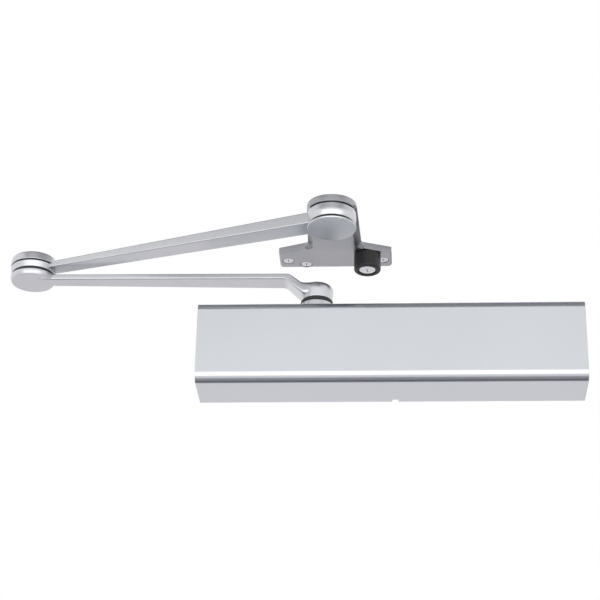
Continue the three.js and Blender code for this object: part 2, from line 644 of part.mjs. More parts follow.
// The lower nut: closed, with a pocket for the shaft's end and two spanner holes.
function makeLowerNut() {
  const low = -COVER_INSIDE + LOWER_NUT_TO_COVER;
  const pocket = -NUT_LOW - LOWER_NUT_POCKET;
  const body = turned([
    [0, low],
    [NUT_RADIUS, low],
    [NUT_RADIUS, -NUT_LOW],
    [SHAFT_HOLE, -NUT_LOW],
    [SHAFT_HOLE, pocket],
    [0, pocket],
  ], 0, AXIS_Y);
  const spannerAt = (SHAFT_HOLE + NUT_RADIUS) / 2;
  const spannerHoles = [spannerAt, -spannerAt].map((x) => (
    post(SPANNER_HOLE_RADIUS, low - PAST, low + SPANNER_HOLE_DEPTH, x, AXIS_Y, 12)
  ));
  return cut(body, ...spannerHoles);
}

add('upper_bearing', makeBearing(BEARING_LOW), machinedSteel);
add('lower_bearing', makeBearing(-BEARING_LOW - BEARING_HEIGHT), machinedSteel);
add('upper_pinion_nut', makeUpperNut(), machinedSteel);
add('lower_pinion_nut', makeLowerNut(), machinedSteel);
add(
  'shaft_seal',
  sleeve(SHAFT_HOLE, SEAL_RADIUS - GAP, COLLAR_TOP - SEAL_HEIGHT + GAP, COLLAR_TOP - GAP, 0, AXIS_Y),
  blackRubber,
);

// ---------------------------------------------------------------- end plugs and their rings

const RING_CENTRE = PLUG_SEAT - GAP - ORING_RADIUS;
const RING_HALF_GROOVE = ORING_RADIUS + GAP;

// A plug for the barrel's end with a groove for its ring, half way along, as a profile.
function plugProfile(from, to, hole) {
  const land = PLUG_SEAT - GAP;
  const middle = (from + to) / 2;
  const floor = RING_CENTRE - ORING_RADIUS - GAP;
  const profile = [
    [hole, from],
    [land, from],
    [land, middle - RING_HALF_GROOVE],
    [floor, middle - RING_HALF_GROOVE],
    [floor, middle + RING_HALF_GROOVE],
    [land, middle + RING_HALF_GROOVE],
    [land, to],
    [hole, to],
  ];
  return hole > 0 ? [...profile, [hole, from]] : profile;
}

function makeRing(middle) {
  const facets = 6;
  const circle = Array.from({ length: facets }, (_, step) => {
    const angle = -Math.PI / 2 + step * 2 * Math.PI / facets;
    return [RING_CENTRE + ORING_RADIUS * Math.cos(angle), middle + ORING_RADIUS * Math.sin(angle)];
  });
  return turnedAlongX([...circle, circle[0]]);
}

const RIGHT_PLUG_FACE = BARREL_RIGHT - PLUG_LENGTH;

function makeLeftPlug() {
  const body = turnedAlongX(plugProfile(BARREL_LEFT, LEFT_PLUG_FACE, 0));
  const socket = prism(6, PLUG_SOCKET.acrossFlats, -PLUG_SOCKET.depth, PLUG_SOCKET.depth);
  const alongX = socket.rotate([0, 90, 0]).translate([BARREL_LEFT, AXIS_Y, 0]);
  return cut(body, alongX);
}

add('left_end_plug', makeLeftPlug(), machinedSteel);
add('left_plug_o_ring', makeRing((BARREL_LEFT + LEFT_PLUG_FACE) / 2), blackRubber);
add(
  'right_end_plug',
  turnedAlongX(plugProfile(RIGHT_PLUG_FACE, BARREL_RIGHT, ADJUSTER_RADIUS + GAP)),
  machinedSteel,
);
add('right_plug_o_ring', makeRing((RIGHT_PLUG_FACE + BARREL_RIGHT) / 2), blackRubber);

// ---------------------------------------------------------------- spring adjuster

const SEAT_RIGHT = RIGHT_PLUG_FACE - GAP - ADJUSTER_COLLAR - SPRING_SEAT_STANDOFF;
const SEAT_LEFT = SEAT_RIGHT - SPRING_SEAT_LENGTH;
const SEAT_RIM_LEFT = SEAT_LEFT + SPRING_SPIGOT_LENGTH;
const ADJUSTER_TIP = SEAT_LEFT - SPRING_SEAT_TRAVEL - ADJUSTER_OVERRUN;
const SPRING_OUTER = BORE_RADIUS - SPRING_CLEARANCE;
const SPRING_INNER = SPRING_OUTER - SPRING_WIRE;

function makeAdjuster() {
  const headLow = BARREL_RIGHT + GAP;
  const collarHigh = RIGHT_PLUG_FACE - GAP;
  const collarRadius = ADJUSTER_RADIUS + ADJUSTER_COLLAR_STEP;
  const stem = turnedAlongX([
    [0, ADJUSTER_TIP],
    [ADJUSTER_RADIUS, ADJUSTER_TIP],
    [ADJUSTER_RADIUS, collarHigh - ADJUSTER_COLLAR],
    [collarRadius, collarHigh - ADJUSTER_COLLAR],
    [collarRadius, collarHigh],
    [ADJUSTER_RADIUS, collarHigh],
    [ADJUSTER_RADIUS, headLow + PAST],
    [0, headLow + PAST],
  ], 16);
  const acrossFlats = 2 * ADJUSTER_RADIUS + ADJUSTER_COLLAR_STEP;
  const head = prism(6, acrossFlats, headLow, headLow + ADJUSTER_HEAD);
  return join(stem, head.rotate([0, 90, 0]).translate([0, AXIS_Y, 0]));
}

// The spring's seat: a nut on the adjuster, with a spigot inside the spring's last coil.
function makeSpringSeat() {
  const hole = ADJUSTER_RADIUS + GAP;
  const spigot = SPRING_INNER - SPRING_SPIGOT_CLEARANCE;
  const rim = BORE_RADIUS - SPRING_SEAT_CLEARANCE;
  return turnedAlongX([
    [hole, SEAT_LEFT],
    [spigot, SEAT_LEFT],
    [spigot, SEAT_RIM_LEFT],
    [rim, SEAT_RIM_LEFT],
    [rim, SEAT_RIGHT],
    [hole, SEAT_RIGHT],
    [hole, SEAT_LEFT],
  ]);
}

add('power_adjusting_screw', makeAdjuster(), zincPlate);
add('spring_seat', makeSpringSeat(), machinedSteel);

// ---------------------------------------------------------------- main spring

// A helix about the barrel's axis, with its end turns drawn together.
class SpringCurve extends THREE.Curve {
  constructor(from, to, radius, turns) {
    super();
    Object.assign(this, { from, to, radius, turns });
  }

  getPoint(t, target = new THREE.Vector3()) {
    const angle = 2 * Math.PI * this.turns * t;
    const eased = t - Math.sin(2 * Math.PI * t) / (2 * Math.PI) * SPRING_END_EASE;
    const x = THREE.MathUtils.lerp(this.from, this.to, eased);
    const y = AXIS_Y + this.radius * Math.cos(angle);
    return target.set(x, y, this.radius * Math.sin(angle));
  }
}

const STEPS_PER_COIL = 12;

function makeMainSpring() {
  const wire = SPRING_WIRE / 2;
  const from = PISTON_RIGHT + GAP + wire;
  const to = SEAT_RIM_LEFT - GAP - wire;
  const path = new SpringCurve(from, to, SPRING_OUTER - wire, SPRING_COILS);
  const section = new THREE.Shape().absarc(0, 0, wire, 0, 2 * Math.PI, false);
  const steps = SPRING_COILS * STEPS_PER_COIL;
  const settings = { steps, curveSegments: 3, bevelEnabled: false };
  return solidOf(new THREE.ExtrudeGeometry(section, { ...settings, extrudePath: path }));
}

add('main_spring', makeMainSpring(), springSteel);

// ---------------------------------------------------------------- regulating valves

// A needle valve, screwed up into its boss until its point stands off the orifice.
function makeValve(x) {
  const tip = VALVE_HOLE_TOP - GAP;
  const end = VALVE_LOW + VALVE_RECESS;
  const body = turned([
    [0, end],
    [VALVE_RADIUS, end],
    [VALVE_RADIUS, tip - VALVE_POINT_LENGTH],
    [VALVE_POINT_RADIUS, tip],
    [0, tip],
  ], x, AXIS_Y, 12);
  const { acrossFlats, depth } = VALVE_SOCKET;
  return cut(body, prism(6, acrossFlats, end - PAST, end + depth, x, AXIS_Y));
}

Object.entries(VALVE_PLACES).forEach(([name, x]) => {
  add(`${name}_valve`, makeValve(x), machinedSteel);
});

// ---------------------------------------------------------------- piston and check valve

const RACK_PITCH_Y = AXIS_Y - PITCH_RADIUS;
const RACK_TIP_Y = RACK_PITCH_Y + RACK_ADDENDUM * GEAR_MODULE;
const RACK_ROOT_Y = RACK_PITCH_Y - (GEAR_ADDENDUM + ROOT_CLEARANCE) * GEAR_MODULE;
const CHECK_POCKET_RADIUS = CHECK_BALL_RADIUS + CHECK_POCKET_MARGIN;
const CHECK_BALL_X = PISTON_LEFT + CHECK_SEAT_LENGTH + GAP + CHECK_BALL_RADIUS;
const CHECK_POCKET_END = CHECK_BALL_X + CHECK_BALL_RADIUS + CHECK_BALL_LIFT + GAP;

// One straight-sided rack tooth about x, thinned by half the backlash.
function makeRackTooth(x) {
  const half = RACK_PITCH / 4 - BACKLASH / 4;
  const lean = Math.tan(PRESSURE_ANGLE);
  const tip = half - (RACK_TIP_Y - RACK_PITCH_Y) * lean;
  const root = half + (RACK_PITCH_Y - RACK_ROOT_Y) * lean;
  const shape = outline([
    [x - root, RACK_ROOT_Y - PAST],
    [x + root, RACK_ROOT_Y - PAST],
    [x + root, RACK_ROOT_Y],
    [x + tip, RACK_TIP_Y],
    [x - tip, RACK_TIP_Y],
    [x - root, RACK_ROOT_Y],
  ]);
  return raised(shape, -GEAR_HEIGHT / 2 + RACK_EDGE, GEAR_HEIGHT / 2 - RACK_EDGE);
}

function makePiston() {
  const height = PISTON_RADIUS + PAST;
  const slotBack = AXIS_Y + GEAR_TIP + SLOT_BACK_MARGIN;
  const round = rod(PISTON_RADIUS, PISTON_LEFT, PISTON_RIGHT);
  const blank = cut(
    round,
    block([SLOT_LEFT, RACK_ROOT_Y, -height], [SLOT_RIGHT, slotBack, height]),
    rod(CHECK_POCKET_RADIUS, PISTON_LEFT - PAST, CHECK_POCKET_END, 12),
    rod(ORIFICE_RADIUS, CHECK_POCKET_END - PAST, SLOT_LEFT + PAST, 8),
  );
  // Teeth stand half a pitch either side of x = 0, where the gear's own tooth points.
  const firstTooth = Math.ceil(SLOT_LEFT / RACK_PITCH) + 0.5;
  const lastTooth = SLOT_RIGHT - RACK_PITCH / 2;
  const teeth = [];
  for (let step = firstTooth; step * RACK_PITCH <= lastTooth; step += 1) {
    teeth.push(makeRackTooth(step * RACK_PITCH));
  }
  return join(blank, join(...teeth).intersect(round));
}

function makeCheckBall() {
  const geometry = new THREE.SphereGeometry(CHECK_BALL_RADIUS, 12, 7);
  geometry.translate(CHECK_BALL_X, AXIS_Y, 0);
  return solidOf(geometry);
}

function makeCheckSeat() {
  const outer = CHECK_POCKET_RADIUS - GAP;
  const end = PISTON_LEFT + CHECK_SEAT_LENGTH;
  const corner = [ORIFICE_RADIUS, PISTON_LEFT];
  return turnedAlongX([
    corner,
    [outer, PISTON_LEFT],
    [outer, end],
    [ORIFICE_RADIUS, end],
    corner,
  ], 12);
}

add('piston', makePiston(), machinedSteel);
add('check_valve_ball', makeCheckBall(), zincPlate);
add('check_valve_seat', makeCheckSeat(), bronze);

// ---------------------------------------------------------------- pinion shaft

// One involute flank, as [radius, angle] from the base circle (or the root) out to the tip.
function flankPoints() {
  const base = PITCH_RADIUS * Math.cos(PRESSURE_ANGLE);
  const involute = (radius) => {
    const angle = Math.acos(Math.min(base / radius, 1));
    return Math.tan(angle) - angle;
  };
  const halfTooth = Math.PI / 2 / GEAR_TEETH - BACKLASH / 4 / PITCH_RADIUS;
  const start = Math.max(base, GEAR_ROOT);
  return Array.from({ length: FLANK_STEPS + 1 }, (_, step) => {
    const radius = THREE.MathUtils.lerp(start, GEAR_TIP, step / FLANK_STEPS);
    return [radius, halfTooth + involute(PITCH_RADIUS) - involute(radius)];
  });
}

// The gear's outline, with a tooth pointing at the rack.
function makeGearOutline() {
  const flank = flankPoints();
  const rootAngle = flank[0][1];
  const tooth = [[GEAR_ROOT, rootAngle], ...flank];
  const points = [];
  for (let index = 0; index < GEAR_TEETH; index += 1) {
    const middle = -Math.PI / 2 + index * 2 * Math.PI / GEAR_TEETH;
    const rising = tooth.map(([radius, half]) => [radius, middle - half]);
    const falling = tooth.toReversed().map(([radius, half]) => [radius, middle + half]);
    [...rising, ...falling].forEach(([radius, angle]) => {
      points.push([radius * Math.cos(angle), AXIS_Y + radius * Math.sin(angle)]);
    });
  }
  return outline(points);
}

const SHAFT_LOW = -NUT_LOW - LOWER_NUT_POCKET + GAP;
const HUB_SEAT = HUB_TOP - HUB_POCKET;
const SHAFT_TOP = HUB_SEAT - SHAFT_TO_SEAT;
const DRIVE_LOW = HUB_LOW - DRIVE_DROP;

function makePinionShaft() {
  const gearHalf = GEAR_HEIGHT / 2;
  return cut(
    join(
      raised(makeGearOutline(), -gearHalf, gearHalf),
      post(GEAR_ROOT - GEAR_HUB_STEP, -gearHalf - PAST, gearHalf + PAST, 0, AXIS_Y),
      post(JOURNAL_RADIUS, gearHalf, DRIVE_LOW, 0, AXIS_Y),
      post(JOURNAL_RADIUS, SHAFT_LOW, -gearHalf, 0, AXIS_Y),
      prism(4, DRIVE_SQUARE, DRIVE_LOW - PAST, SHAFT_TOP, 0, AXIS_Y, Math.PI / 4),
    ),
    post(ARM_SCREW_RADIUS + GAP, SHAFT_TOP - ARM_SCREW_DEPTH, SHAFT_TOP + PAST, 0, AXIS_Y, 14),
  );
}

add('pinion_shaft', makePinionShaft(), machinedSteel);

// ---------------------------------------------------------------- main arm

const ARM_SCREW_HOLE = ARM_SCREW_RADIUS + GAP + ARM_SCREW_MARGIN;
const STUD_SEAT_DEPTH = ELBOW_DISC_THICKNESS * STUD_SEAT_SHARE;
const STUD_HOLE = PIVOT_STUD_RADIUS + GAP;

// A round disc or knuckle with chamfered rims.
function disc(radius, low, high, x, y, rim = DISC_CHAMFER) {
  return turned([
    [0, low],
    [radius - rim, low],
    [radius, low + rim],
    [radius, high - rim],
    [radius - rim, high],
    [0, high],
  ], x, y, 32);
}

function makeMainArm() {
  const hub = turned([
    [0, HUB_LOW],
    [HUB_RADIUS - HUB_LOWER_CHAMFER, HUB_LOW],
    [HUB_RADIUS, HUB_LOW + HUB_LOWER_CHAMFER],
    [HUB_RADIUS, HUB_TOP - HUB_UPPER_ROUND],
    [HUB_RADIUS - HUB_UPPER_ROUND / 3, HUB_TOP - HUB_UPPER_ROUND / 3],
    [HUB_RADIUS - HUB_UPPER_ROUND, HUB_TOP],
    [0, HUB_TOP],
  ], 0, AXIS_Y, 28);

  // The strap's top and underside, from the hub out through the joggle to the elbow.
  const joggleStart = -HUB_RADIUS;
  const topKnee = joggleStart - JOGGLE_RISE - PAST;
  const parallelEnd = topKnee - STRAP_PARALLEL;
  const under = STRAP_THICKNESS;
  const rootLow = HUB_LOW + STRAP_ROOT_LIFT;
  const side = sideView([
    [0, HUB_TOP],
    [joggleStart + PAST, HUB_TOP],
    [topKnee, STRAP_TOP_HUB],
    [ELBOW_X, STRAP_TOP_ELBOW],
    [ELBOW_X, STRAP_TOP_ELBOW - under],
    [topKnee - JOGGLE_LEAN + PAST, STRAP_TOP_HUB - under],
    [joggleStart + JOGGLE_LEAN, rootLow],
    [0, rootLow],
  ], AXIS_Y - STRAP_WIDTH_HUB, AXIS_Y + STRAP_WIDTH_HUB);
  const hubFlat = HUB_RADIUS - HUB_UPPER_ROUND - PAST;
  const flareX = -HUB_RADIUS * Math.cos(STRAP_FLARE_ANGLE);
  const flareHalf = HUB_RADIUS * Math.sin(STRAP_FLARE_ANGLE) - STRAP_FLARE_INSET;
  const plan = raised(outline([
    [0, AXIS_Y - hubFlat],
    [0, AXIS_Y + hubFlat],
    [flareX, AXIS_Y + flareHalf],
    [topKnee, AXIS_Y + STRAP_WIDTH_HUB / 2],
    [parallelEnd, AXIS_Y + STRAP_WIDTH_HUB / 2],
    [ELBOW_X, AXIS_Y + STRAP_WIDTH_ELBOW / 2],
    [ELBOW_X, AXIS_Y - STRAP_WIDTH_ELBOW / 2],
    [parallelEnd, AXIS_Y - STRAP_WIDTH_HUB / 2],
    [topKnee, AXIS_Y - STRAP_WIDTH_HUB / 2],
    [flareX, AXIS_Y - flareHalf],
  ]), HUB_LOW, ELBOW_DISC_TOP);
  const driveHole = DRIVE_SQUARE + 2 * GAP;
  const studSeat = ELBOW_DISC_TOP - STUD_SEAT_DEPTH;
  return cut(
    join(
      hub,
      side.intersect(plan),
      disc(ELBOW_DISC_RADIUS, ELBOW_DISC_LOW, ELBOW_DISC_TOP, ELBOW_X, AXIS_Y),
    ),
    prism(4, driveHole, HUB_LOW - PAST, SHAFT_TOP + GAP, 0, AXIS_Y, Math.PI / 4),
    post(ARM_SCREW_HOLE, SHAFT_TOP - PAST, HUB_SEAT + PAST, 0, AXIS_Y, 14),
    post(ARM_WASHER_RADIUS + 2 * GAP, HUB_SEAT, HUB_TOP + PAST, 0, AXIS_Y, 28),
    post(STUD_HOLE, studSeat, ELBOW_DISC_TOP + PAST, ELBOW_X, AXIS_Y, 20),
  );
}

const ARM_WASHER_LOW = HUB_SEAT + GAP;
const ARM_SCREW_SEAT = ARM_WASHER_LOW + ARM_WASHER_THICKNESS + GAP;

function makeArmScrew() {
  const { acrossFlats, height } = ARM_SCREW_HEAD;
  const tip = SHAFT_TOP - ARM_SCREW_DEPTH + GAP;
  return join(
    post(ARM_SCREW_RADIUS, tip, ARM_SCREW_SEAT + PAST, 0, AXIS_Y, 14),
    prism(6, acrossFlats, ARM_SCREW_SEAT, ARM_SCREW_SEAT + height, 0, AXIS_Y),
  );
}

add('main_arm', makeMainArm(), armPaint);
add('arm_screw', makeArmScrew(), zincPlate);
add(
  'arm_washer',
  sleeve(ARM_SCREW_HOLE, ARM_WASHER_RADIUS, ARM_WASHER_LOW, ARM_SCREW_SEAT - GAP, 0, AXIS_Y),
  zincPlate,
);
add(
  'dust_ring',
  sleeve(SHAFT_HOLE, NUT_RADIUS, COLLAR_TOP + GAP, HUB_LOW - GAP, 0, AXIS_Y),
  blackNylon,
);

// ---------------------------------------------------------------- elbow pivot

const ELBOW_STUD_LOW = ELBOW_DISC_TOP - STUD_SEAT_DEPTH + GAP;
const ELBOW_STUD_TOP = ELBOW_CAP_LOW + ELBOW_CAP_HEIGHT * ELBOW_STUD_SHARE;

function makeElbowCap() {
  return cut(
    disc(ELBOW_CAP_RADIUS, ELBOW_CAP_LOW, ELBOW_CAP_TOP, ELBOW_X, AXIS_Y, ELBOW_CAP_CHAMFER),
    post(STUD_HOLE, ELBOW_CAP_LOW - PAST, ELBOW_STUD_TOP + GAP, ELBOW_X, AXIS_Y, 20),
  );
}

// A thin washer that fills a space between two discs, a little inside their rims.
function spaceWasher(inner, outer, low, high, x, y) {
  return sleeve(inner, outer - WASHER_INSET, low + GAP, high - GAP, x, y);
}

add(
  'elbow_stud',
  post(PIVOT_STUD_RADIUS, ELBOW_STUD_LOW, ELBOW_STUD_TOP, ELBOW_X, AXIS_Y, 20),
  machinedSteel,
);
add('elbow_cap', makeElbowCap(), armPaint);
add(
  'elbow_lower_washer',
  spaceWasher(STUD_HOLE, ELBOW_DISC_RADIUS, ELBOW_DISC_TOP, ELBOW_KNUCKLE_LOW, ELBOW_X, AXIS_Y),
  blackNylon,
);
add(
  'elbow_upper_washer',
  spaceWasher(STUD_HOLE, ELBOW_KNUCKLE_RADIUS, ELBOW_KNUCKLE_TOP, ELBOW_CAP_LOW, ELBOW_X, AXIS_Y),
  darkSteel,
);

// ---------------------------------------------------------------- forearm
// Drawn along +X from the elbow's centre, then turned and set at the elbow.

const forearmGroup = new THREE.Group();
forearmGroup.position.set(ELBOW_X, AXIS_Y, 0);
forearmGroup.rotation.z = FOREARM_ANGLE;
closer.add(forearmGroup);

function makeForearm() {
  const shoulder = Math.max(ELBOW_CAP_RADIUS, ELBOW_KNUCKLE_RADIUS) + FOREARM_SHOULDER_SPACE;
  const underElbow = ELBOW_KNUCKLE_LOW + FOREARM_UNDERCUT;
  const side = sideView([
    [0, underElbow],
    [FOREARM_LENGTH, SHOE_KNUCKLE_LOW + FOREARM_END_UNDERCUT],
    [FOREARM_LENGTH, SHOE_KNUCKLE_TOP],
    [FOREARM_LENGTH - SHOE_KNUCKLE_RADIUS, SHOE_KNUCKLE_TOP],
    [shoulder + FOREARM_SHOULDER_RUN, ELBOW_KNUCKLE_TOP + FOREARM_SHOULDER],
    [shoulder, ELBOW_KNUCKLE_TOP],
    [0, ELBOW_KNUCKLE_TOP],
  ], -FOREARM_WIDTH_SHOE, FOREARM_WIDTH_SHOE);
  const plan = raised(outline([
    [0, -FOREARM_WIDTH_ELBOW / 2],
    [FOREARM_LENGTH, -FOREARM_WIDTH_SHOE / 2],
    [FOREARM_LENGTH, FOREARM_WIDTH_SHOE / 2],
    [0, FOREARM_WIDTH_ELBOW / 2],
  ]), ELBOW_KNUCKLE_LOW, SHOE_KNUCKLE_TOP + PAST);
  return cut(
    join(
      side.intersect(plan),
      disc(ELBOW_KNUCKLE_RADIUS, ELBOW_KNUCKLE_LOW, ELBOW_KNUCKLE_TOP, 0, 0),
      disc(SHOE_KNUCKLE_RADIUS, SHOE_KNUCKLE_LOW, SHOE_KNUCKLE_TOP, FOREARM_LENGTH, 0),
    ),
    post(KNUCKLE_BORE, ELBOW_KNUCKLE_LOW - PAST, ELBOW_KNUCKLE_TOP + PAST, 0, 0),
    post(KNUCKLE_BORE, SHOE_KNUCKLE_LOW - PAST, SHOE_KNUCKLE_TOP + PAST, FOREARM_LENGTH, 0),
  );
}

function bush(low, high, x) {
  return sleeve(STUD_HOLE, BUSH_RADIUS, low + GAP / 2, high - GAP / 2, x, 0, 20);
}

add('forearm', makeForearm(), armPaint, forearmGroup);
add('elbow_bush', bush(ELBOW_KNUCKLE_LOW, ELBOW_KNUCKLE_TOP, 0), bronze, forearmGroup);
add('shoe_bush', bush(SHOE_KNUCKLE_LOW, SHOE_KNUCKLE_TOP, FOREARM_LENGTH), bronze, forearmGroup);

// ---------------------------------------------------------------- soffit shoe
// Drawn about the pivot's upright line in x, and from the door in y.

const shoeGroup = new THREE.Group();
shoeGroup.position.set(SHOE_PIVOT_X, 0, 0);
closer.add(shoeGroup);

const SHOE_STUD_TOP = SHOE_TOP - SHOE_STUD_COVER;
const SHOE_STUD_LOW = SHOE_CAP_TOP + GAP;
const SHOE_SCREW_LIP = SHOE_LOW + GAP;
const BUMPER_SCREW_TOP = SHOE_TOP - BUMPER_SCREW_COVER;

function makeShoe() {
  const half = SHOE_PLATE_WIDTH / 2;
  const earFront = SHOE_BACK_Y - SHOE_EAR_DEPTH;
  const rootFront = SHOE_BACK_Y - SHOE_ROOT_DEPTH;
  const root = LUG_ROOT_WIDTH / 2;
  const corner = SHOE_CORNER;
  const plate = raised(outline([
    [-half + corner, SHOE_BACK_Y],
    [-half, SHOE_BACK_Y - corner],
    [-half, earFront],
    [-root, rootFront],
    [-LUG_RADIUS, SHOE_PIVOT_Y],
    [LUG_RADIUS, SHOE_PIVOT_Y],
    [root, rootFront],
    [half, earFront],
    [half, SHOE_BACK_Y - corner],
    [half - corner, SHOE_BACK_Y],
  ].toReversed()), SHOE_LOW, SHOE_TOP);

  // The lug's flanks slope up and out, from beside the disc to the plate.
  const lean = Math.atan2(root - LUG_RADIUS, rootFront - SHOE_PIVOT_Y);
  const flankLength = rootFront - SHOE_PIVOT_Y - LUG_RADIUS * FLANK_START_SHARE;
  const flankSlope = LUG_FLANK_HEIGHT / LUG_FLANK_WIDTH;
  const flanks = [1, -1].map((hand) => {
    const wedge = sideView([
      [PAST, SHOE_LOW - PAST],
      [PAST, SHOE_LOW + LUG_FLANK_HEIGHT + flankSlope * PAST],
      [-LUG_FLANK_WIDTH, SHOE_LOW],
      [-LUG_FLANK_WIDTH, SHOE_LOW - PAST],
    ].toReversed(), -flankLength, 0);
    const turnedWedge = wedge.rotate([0, 0, -THREE.MathUtils.radToDeg(lean)]);
    return turnedWedge.scale([hand, 1, 1]).translate([hand * root, rootFront, 0]);
  });
  const holes = SHOE_SCREW_PLACES.map(([x, y]) => turned([
    [0, SHOE_LOW - PAST],
    [SHOE_SCREW_HEAD_RADIUS + GAP, SHOE_LOW - PAST],
    [SHOE_SCREW_HEAD_RADIUS + GAP, SHOE_SCREW_LIP],
    [SHOE_SCREW_RADIUS + GAP, SHOE_SCREW_LIP + SHOE_SCREW_CONE],
    [SHOE_SCREW_RADIUS + GAP, SHOE_TOP + PAST],
    [0, SHOE_TOP + PAST],
  ], x, y, 12));
  const [bumperX, bumperY] = BUMPER_PLACE;
  return cut(
    join(plate, disc(LUG_RADIUS, SHOE_LOW, SHOE_TOP, 0, SHOE_PIVOT_Y)),
    ...flanks,
    ...holes,
    post(STUD_HOLE, SHOE_LOW - PAST, SHOE_STUD_TOP + GAP, 0, SHOE_PIVOT_Y, 20),
    post(BUMPER_SCREW_RADIUS + GAP, SHOE_LOW - PAST, BUMPER_SCREW_TOP, bumperX, bumperY, 12),
  );
}

const BUMPER_TOP = SHOE_LOW - GAP;
const BUMPER_LOW = BUMPER_TOP - BUMPER_HEIGHT;

function makeBumper() {
  const [x, y] = BUMPER_PLACE;
  const hole = BUMPER_SCREW_RADIUS + GAP;
  const pocket = BUMPER_SCREW_HEAD_RADIUS + GAP;
  return turned([
    [hole, BUMPER_LOW + BUMPER_POCKET],
    [pocket, BUMPER_LOW + BUMPER_POCKET],
    [pocket, BUMPER_LOW],
    [BUMPER_RADIUS - BUMPER_ROUND, BUMPER_LOW],
    [BUMPER_RADIUS, BUMPER_LOW + BUMPER_ROUND],
    [BUMPER_RADIUS, BUMPER_TOP - BUMPER_UPPER_CHAMFER],
    [BUMPER_RADIUS - BUMPER_UPPER_CHAMFER, BUMPER_TOP],
    [hole, BUMPER_TOP],
    [hole, BUMPER_LOW + BUMPER_POCKET],
  ], x, y);
}

function makeBumperScrew() {
  const [x, y] = BUMPER_PLACE;
  const headTop = BUMPER_LOW + BUMPER_POCKET - GAP;
  const headLow = BUMPER_LOW + BUMPER_SCREW_SINK;
  const body = turned([
    [0, headLow],
    [BUMPER_SCREW_FACE, headLow],
    [BUMPER_SCREW_HEAD_RADIUS, headLow + BUMPER_SCREW_DOME],
    [BUMPER_SCREW_HEAD_RADIUS, headTop],
    [BUMPER_SCREW_RADIUS, headTop],
    [BUMPER_SCREW_RADIUS, BUMPER_SCREW_TOP - GAP],
    [0, BUMPER_SCREW_TOP - GAP],
  ], x, y, 18);
  const { width, depth } = BUMPER_SCREW_RECESS;
  return cut(body, crossRecess(width, headLow - PAST, headLow + depth, x, y));
}

// The pivot's lower cap: a thin disc with a boss that takes the stud's end.
function makeShoeCap() {
  const bossTop = SHOE_KNUCKLE_LOW - GAP;
  return turned([
    [0, SHOE_CAP_LOW],
    [SHOE_CAP_RADIUS - SHOE_CAP_CHAMFER, SHOE_CAP_LOW],
    [SHOE_CAP_RADIUS, SHOE_CAP_LOW + SHOE_CAP_CHAMFER],
    [SHOE_CAP_RADIUS, SHOE_CAP_TOP],
    [SHOE_CAP_BOSS_RADIUS, SHOE_CAP_TOP],
    [SHOE_CAP_BOSS_RADIUS, bossTop],
    [STUD_HOLE, bossTop],
    [STUD_HOLE, SHOE_CAP_TOP],
    [0, SHOE_CAP_TOP],
  ], 0, SHOE_PIVOT_Y, 28);
}

// A countersunk machine screw, head downwards, with its end up in the soffit.
function makeShoeScrew(x, y) {
  const face = SHOE_LOW + SHOE_SCREW_SINK;
  const point = SHOE_LOW + SHOE_SCREW_LENGTH;
  const body = turned([
    [0, face],
    [SHOE_SCREW_HEAD_RADIUS - SHOE_SCREW_SINK, face],
    [SHOE_SCREW_RADIUS, face + SHOE_SCREW_CONE],
    [SHOE_SCREW_RADIUS, point - SHOE_SCREW_POINT],
    [SHOE_SCREW_RADIUS - SHOE_SCREW_POINT, point],
    [0, point],
  ], x, y, 14);
  const { width, depth } = SHOE_SCREW_RECESS;
  return cut(body, crossRecess(width, face - PAST, face + depth, x, y));
}

add('shoe_bracket', makeShoe(), armPaint, shoeGroup);
add(
  'shoe_stud',
  post(PIVOT_STUD_RADIUS, SHOE_STUD_LOW, SHOE_STUD_TOP, 0, SHOE_PIVOT_Y, 20),
  machinedSteel,
  shoeGroup,
);
add('shoe_cap', makeShoeCap(), armPaint, shoeGroup);
const CAP_BOSS_HOLE = SHOE_CAP_BOSS_RADIUS + GAP;
add(
  'shoe_lower_washer',
  spaceWasher(CAP_BOSS_HOLE, SHOE_CAP_RADIUS, SHOE_CAP_TOP, SHOE_KNUCKLE_LOW, 0, SHOE_PIVOT_Y),
  blackNylon,
  shoeGroup,
);
add(
  'shoe_upper_washer',
  spaceWasher(STUD_HOLE, SHOE_KNUCKLE_RADIUS, SHOE_KNUCKLE_TOP, SHOE_LOW, 0, SHOE_PIVOT_Y),
  darkSteel,
  shoeGroup,
);
add('stop_bumper', makeBumper(), blackRubber, shoeGroup);
add('bumper_screw', makeBumperScrew(), zincPlate, shoeGroup);
SHOE_SCREW_PLACES.forEach(([x, y], index) => {
  add(`shoe_screw_${index + 1}`, makeShoeScrew(x, y), zincPlate, shoeGroup);
});

export default closer;
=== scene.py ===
"""Surface door closer with a full metal cover, a rigid parallel arm and a soffit shoe.

The object's own frame, in metres: +Z up, the door's face in the plane y = 0, x = 0 on the
pinion's axis. Sizes in the sections are millimetres; what stands where is read from the frame.
"""
import json

import bpy
import numpy as np
from mathutils import Matrix, Vector, geometry


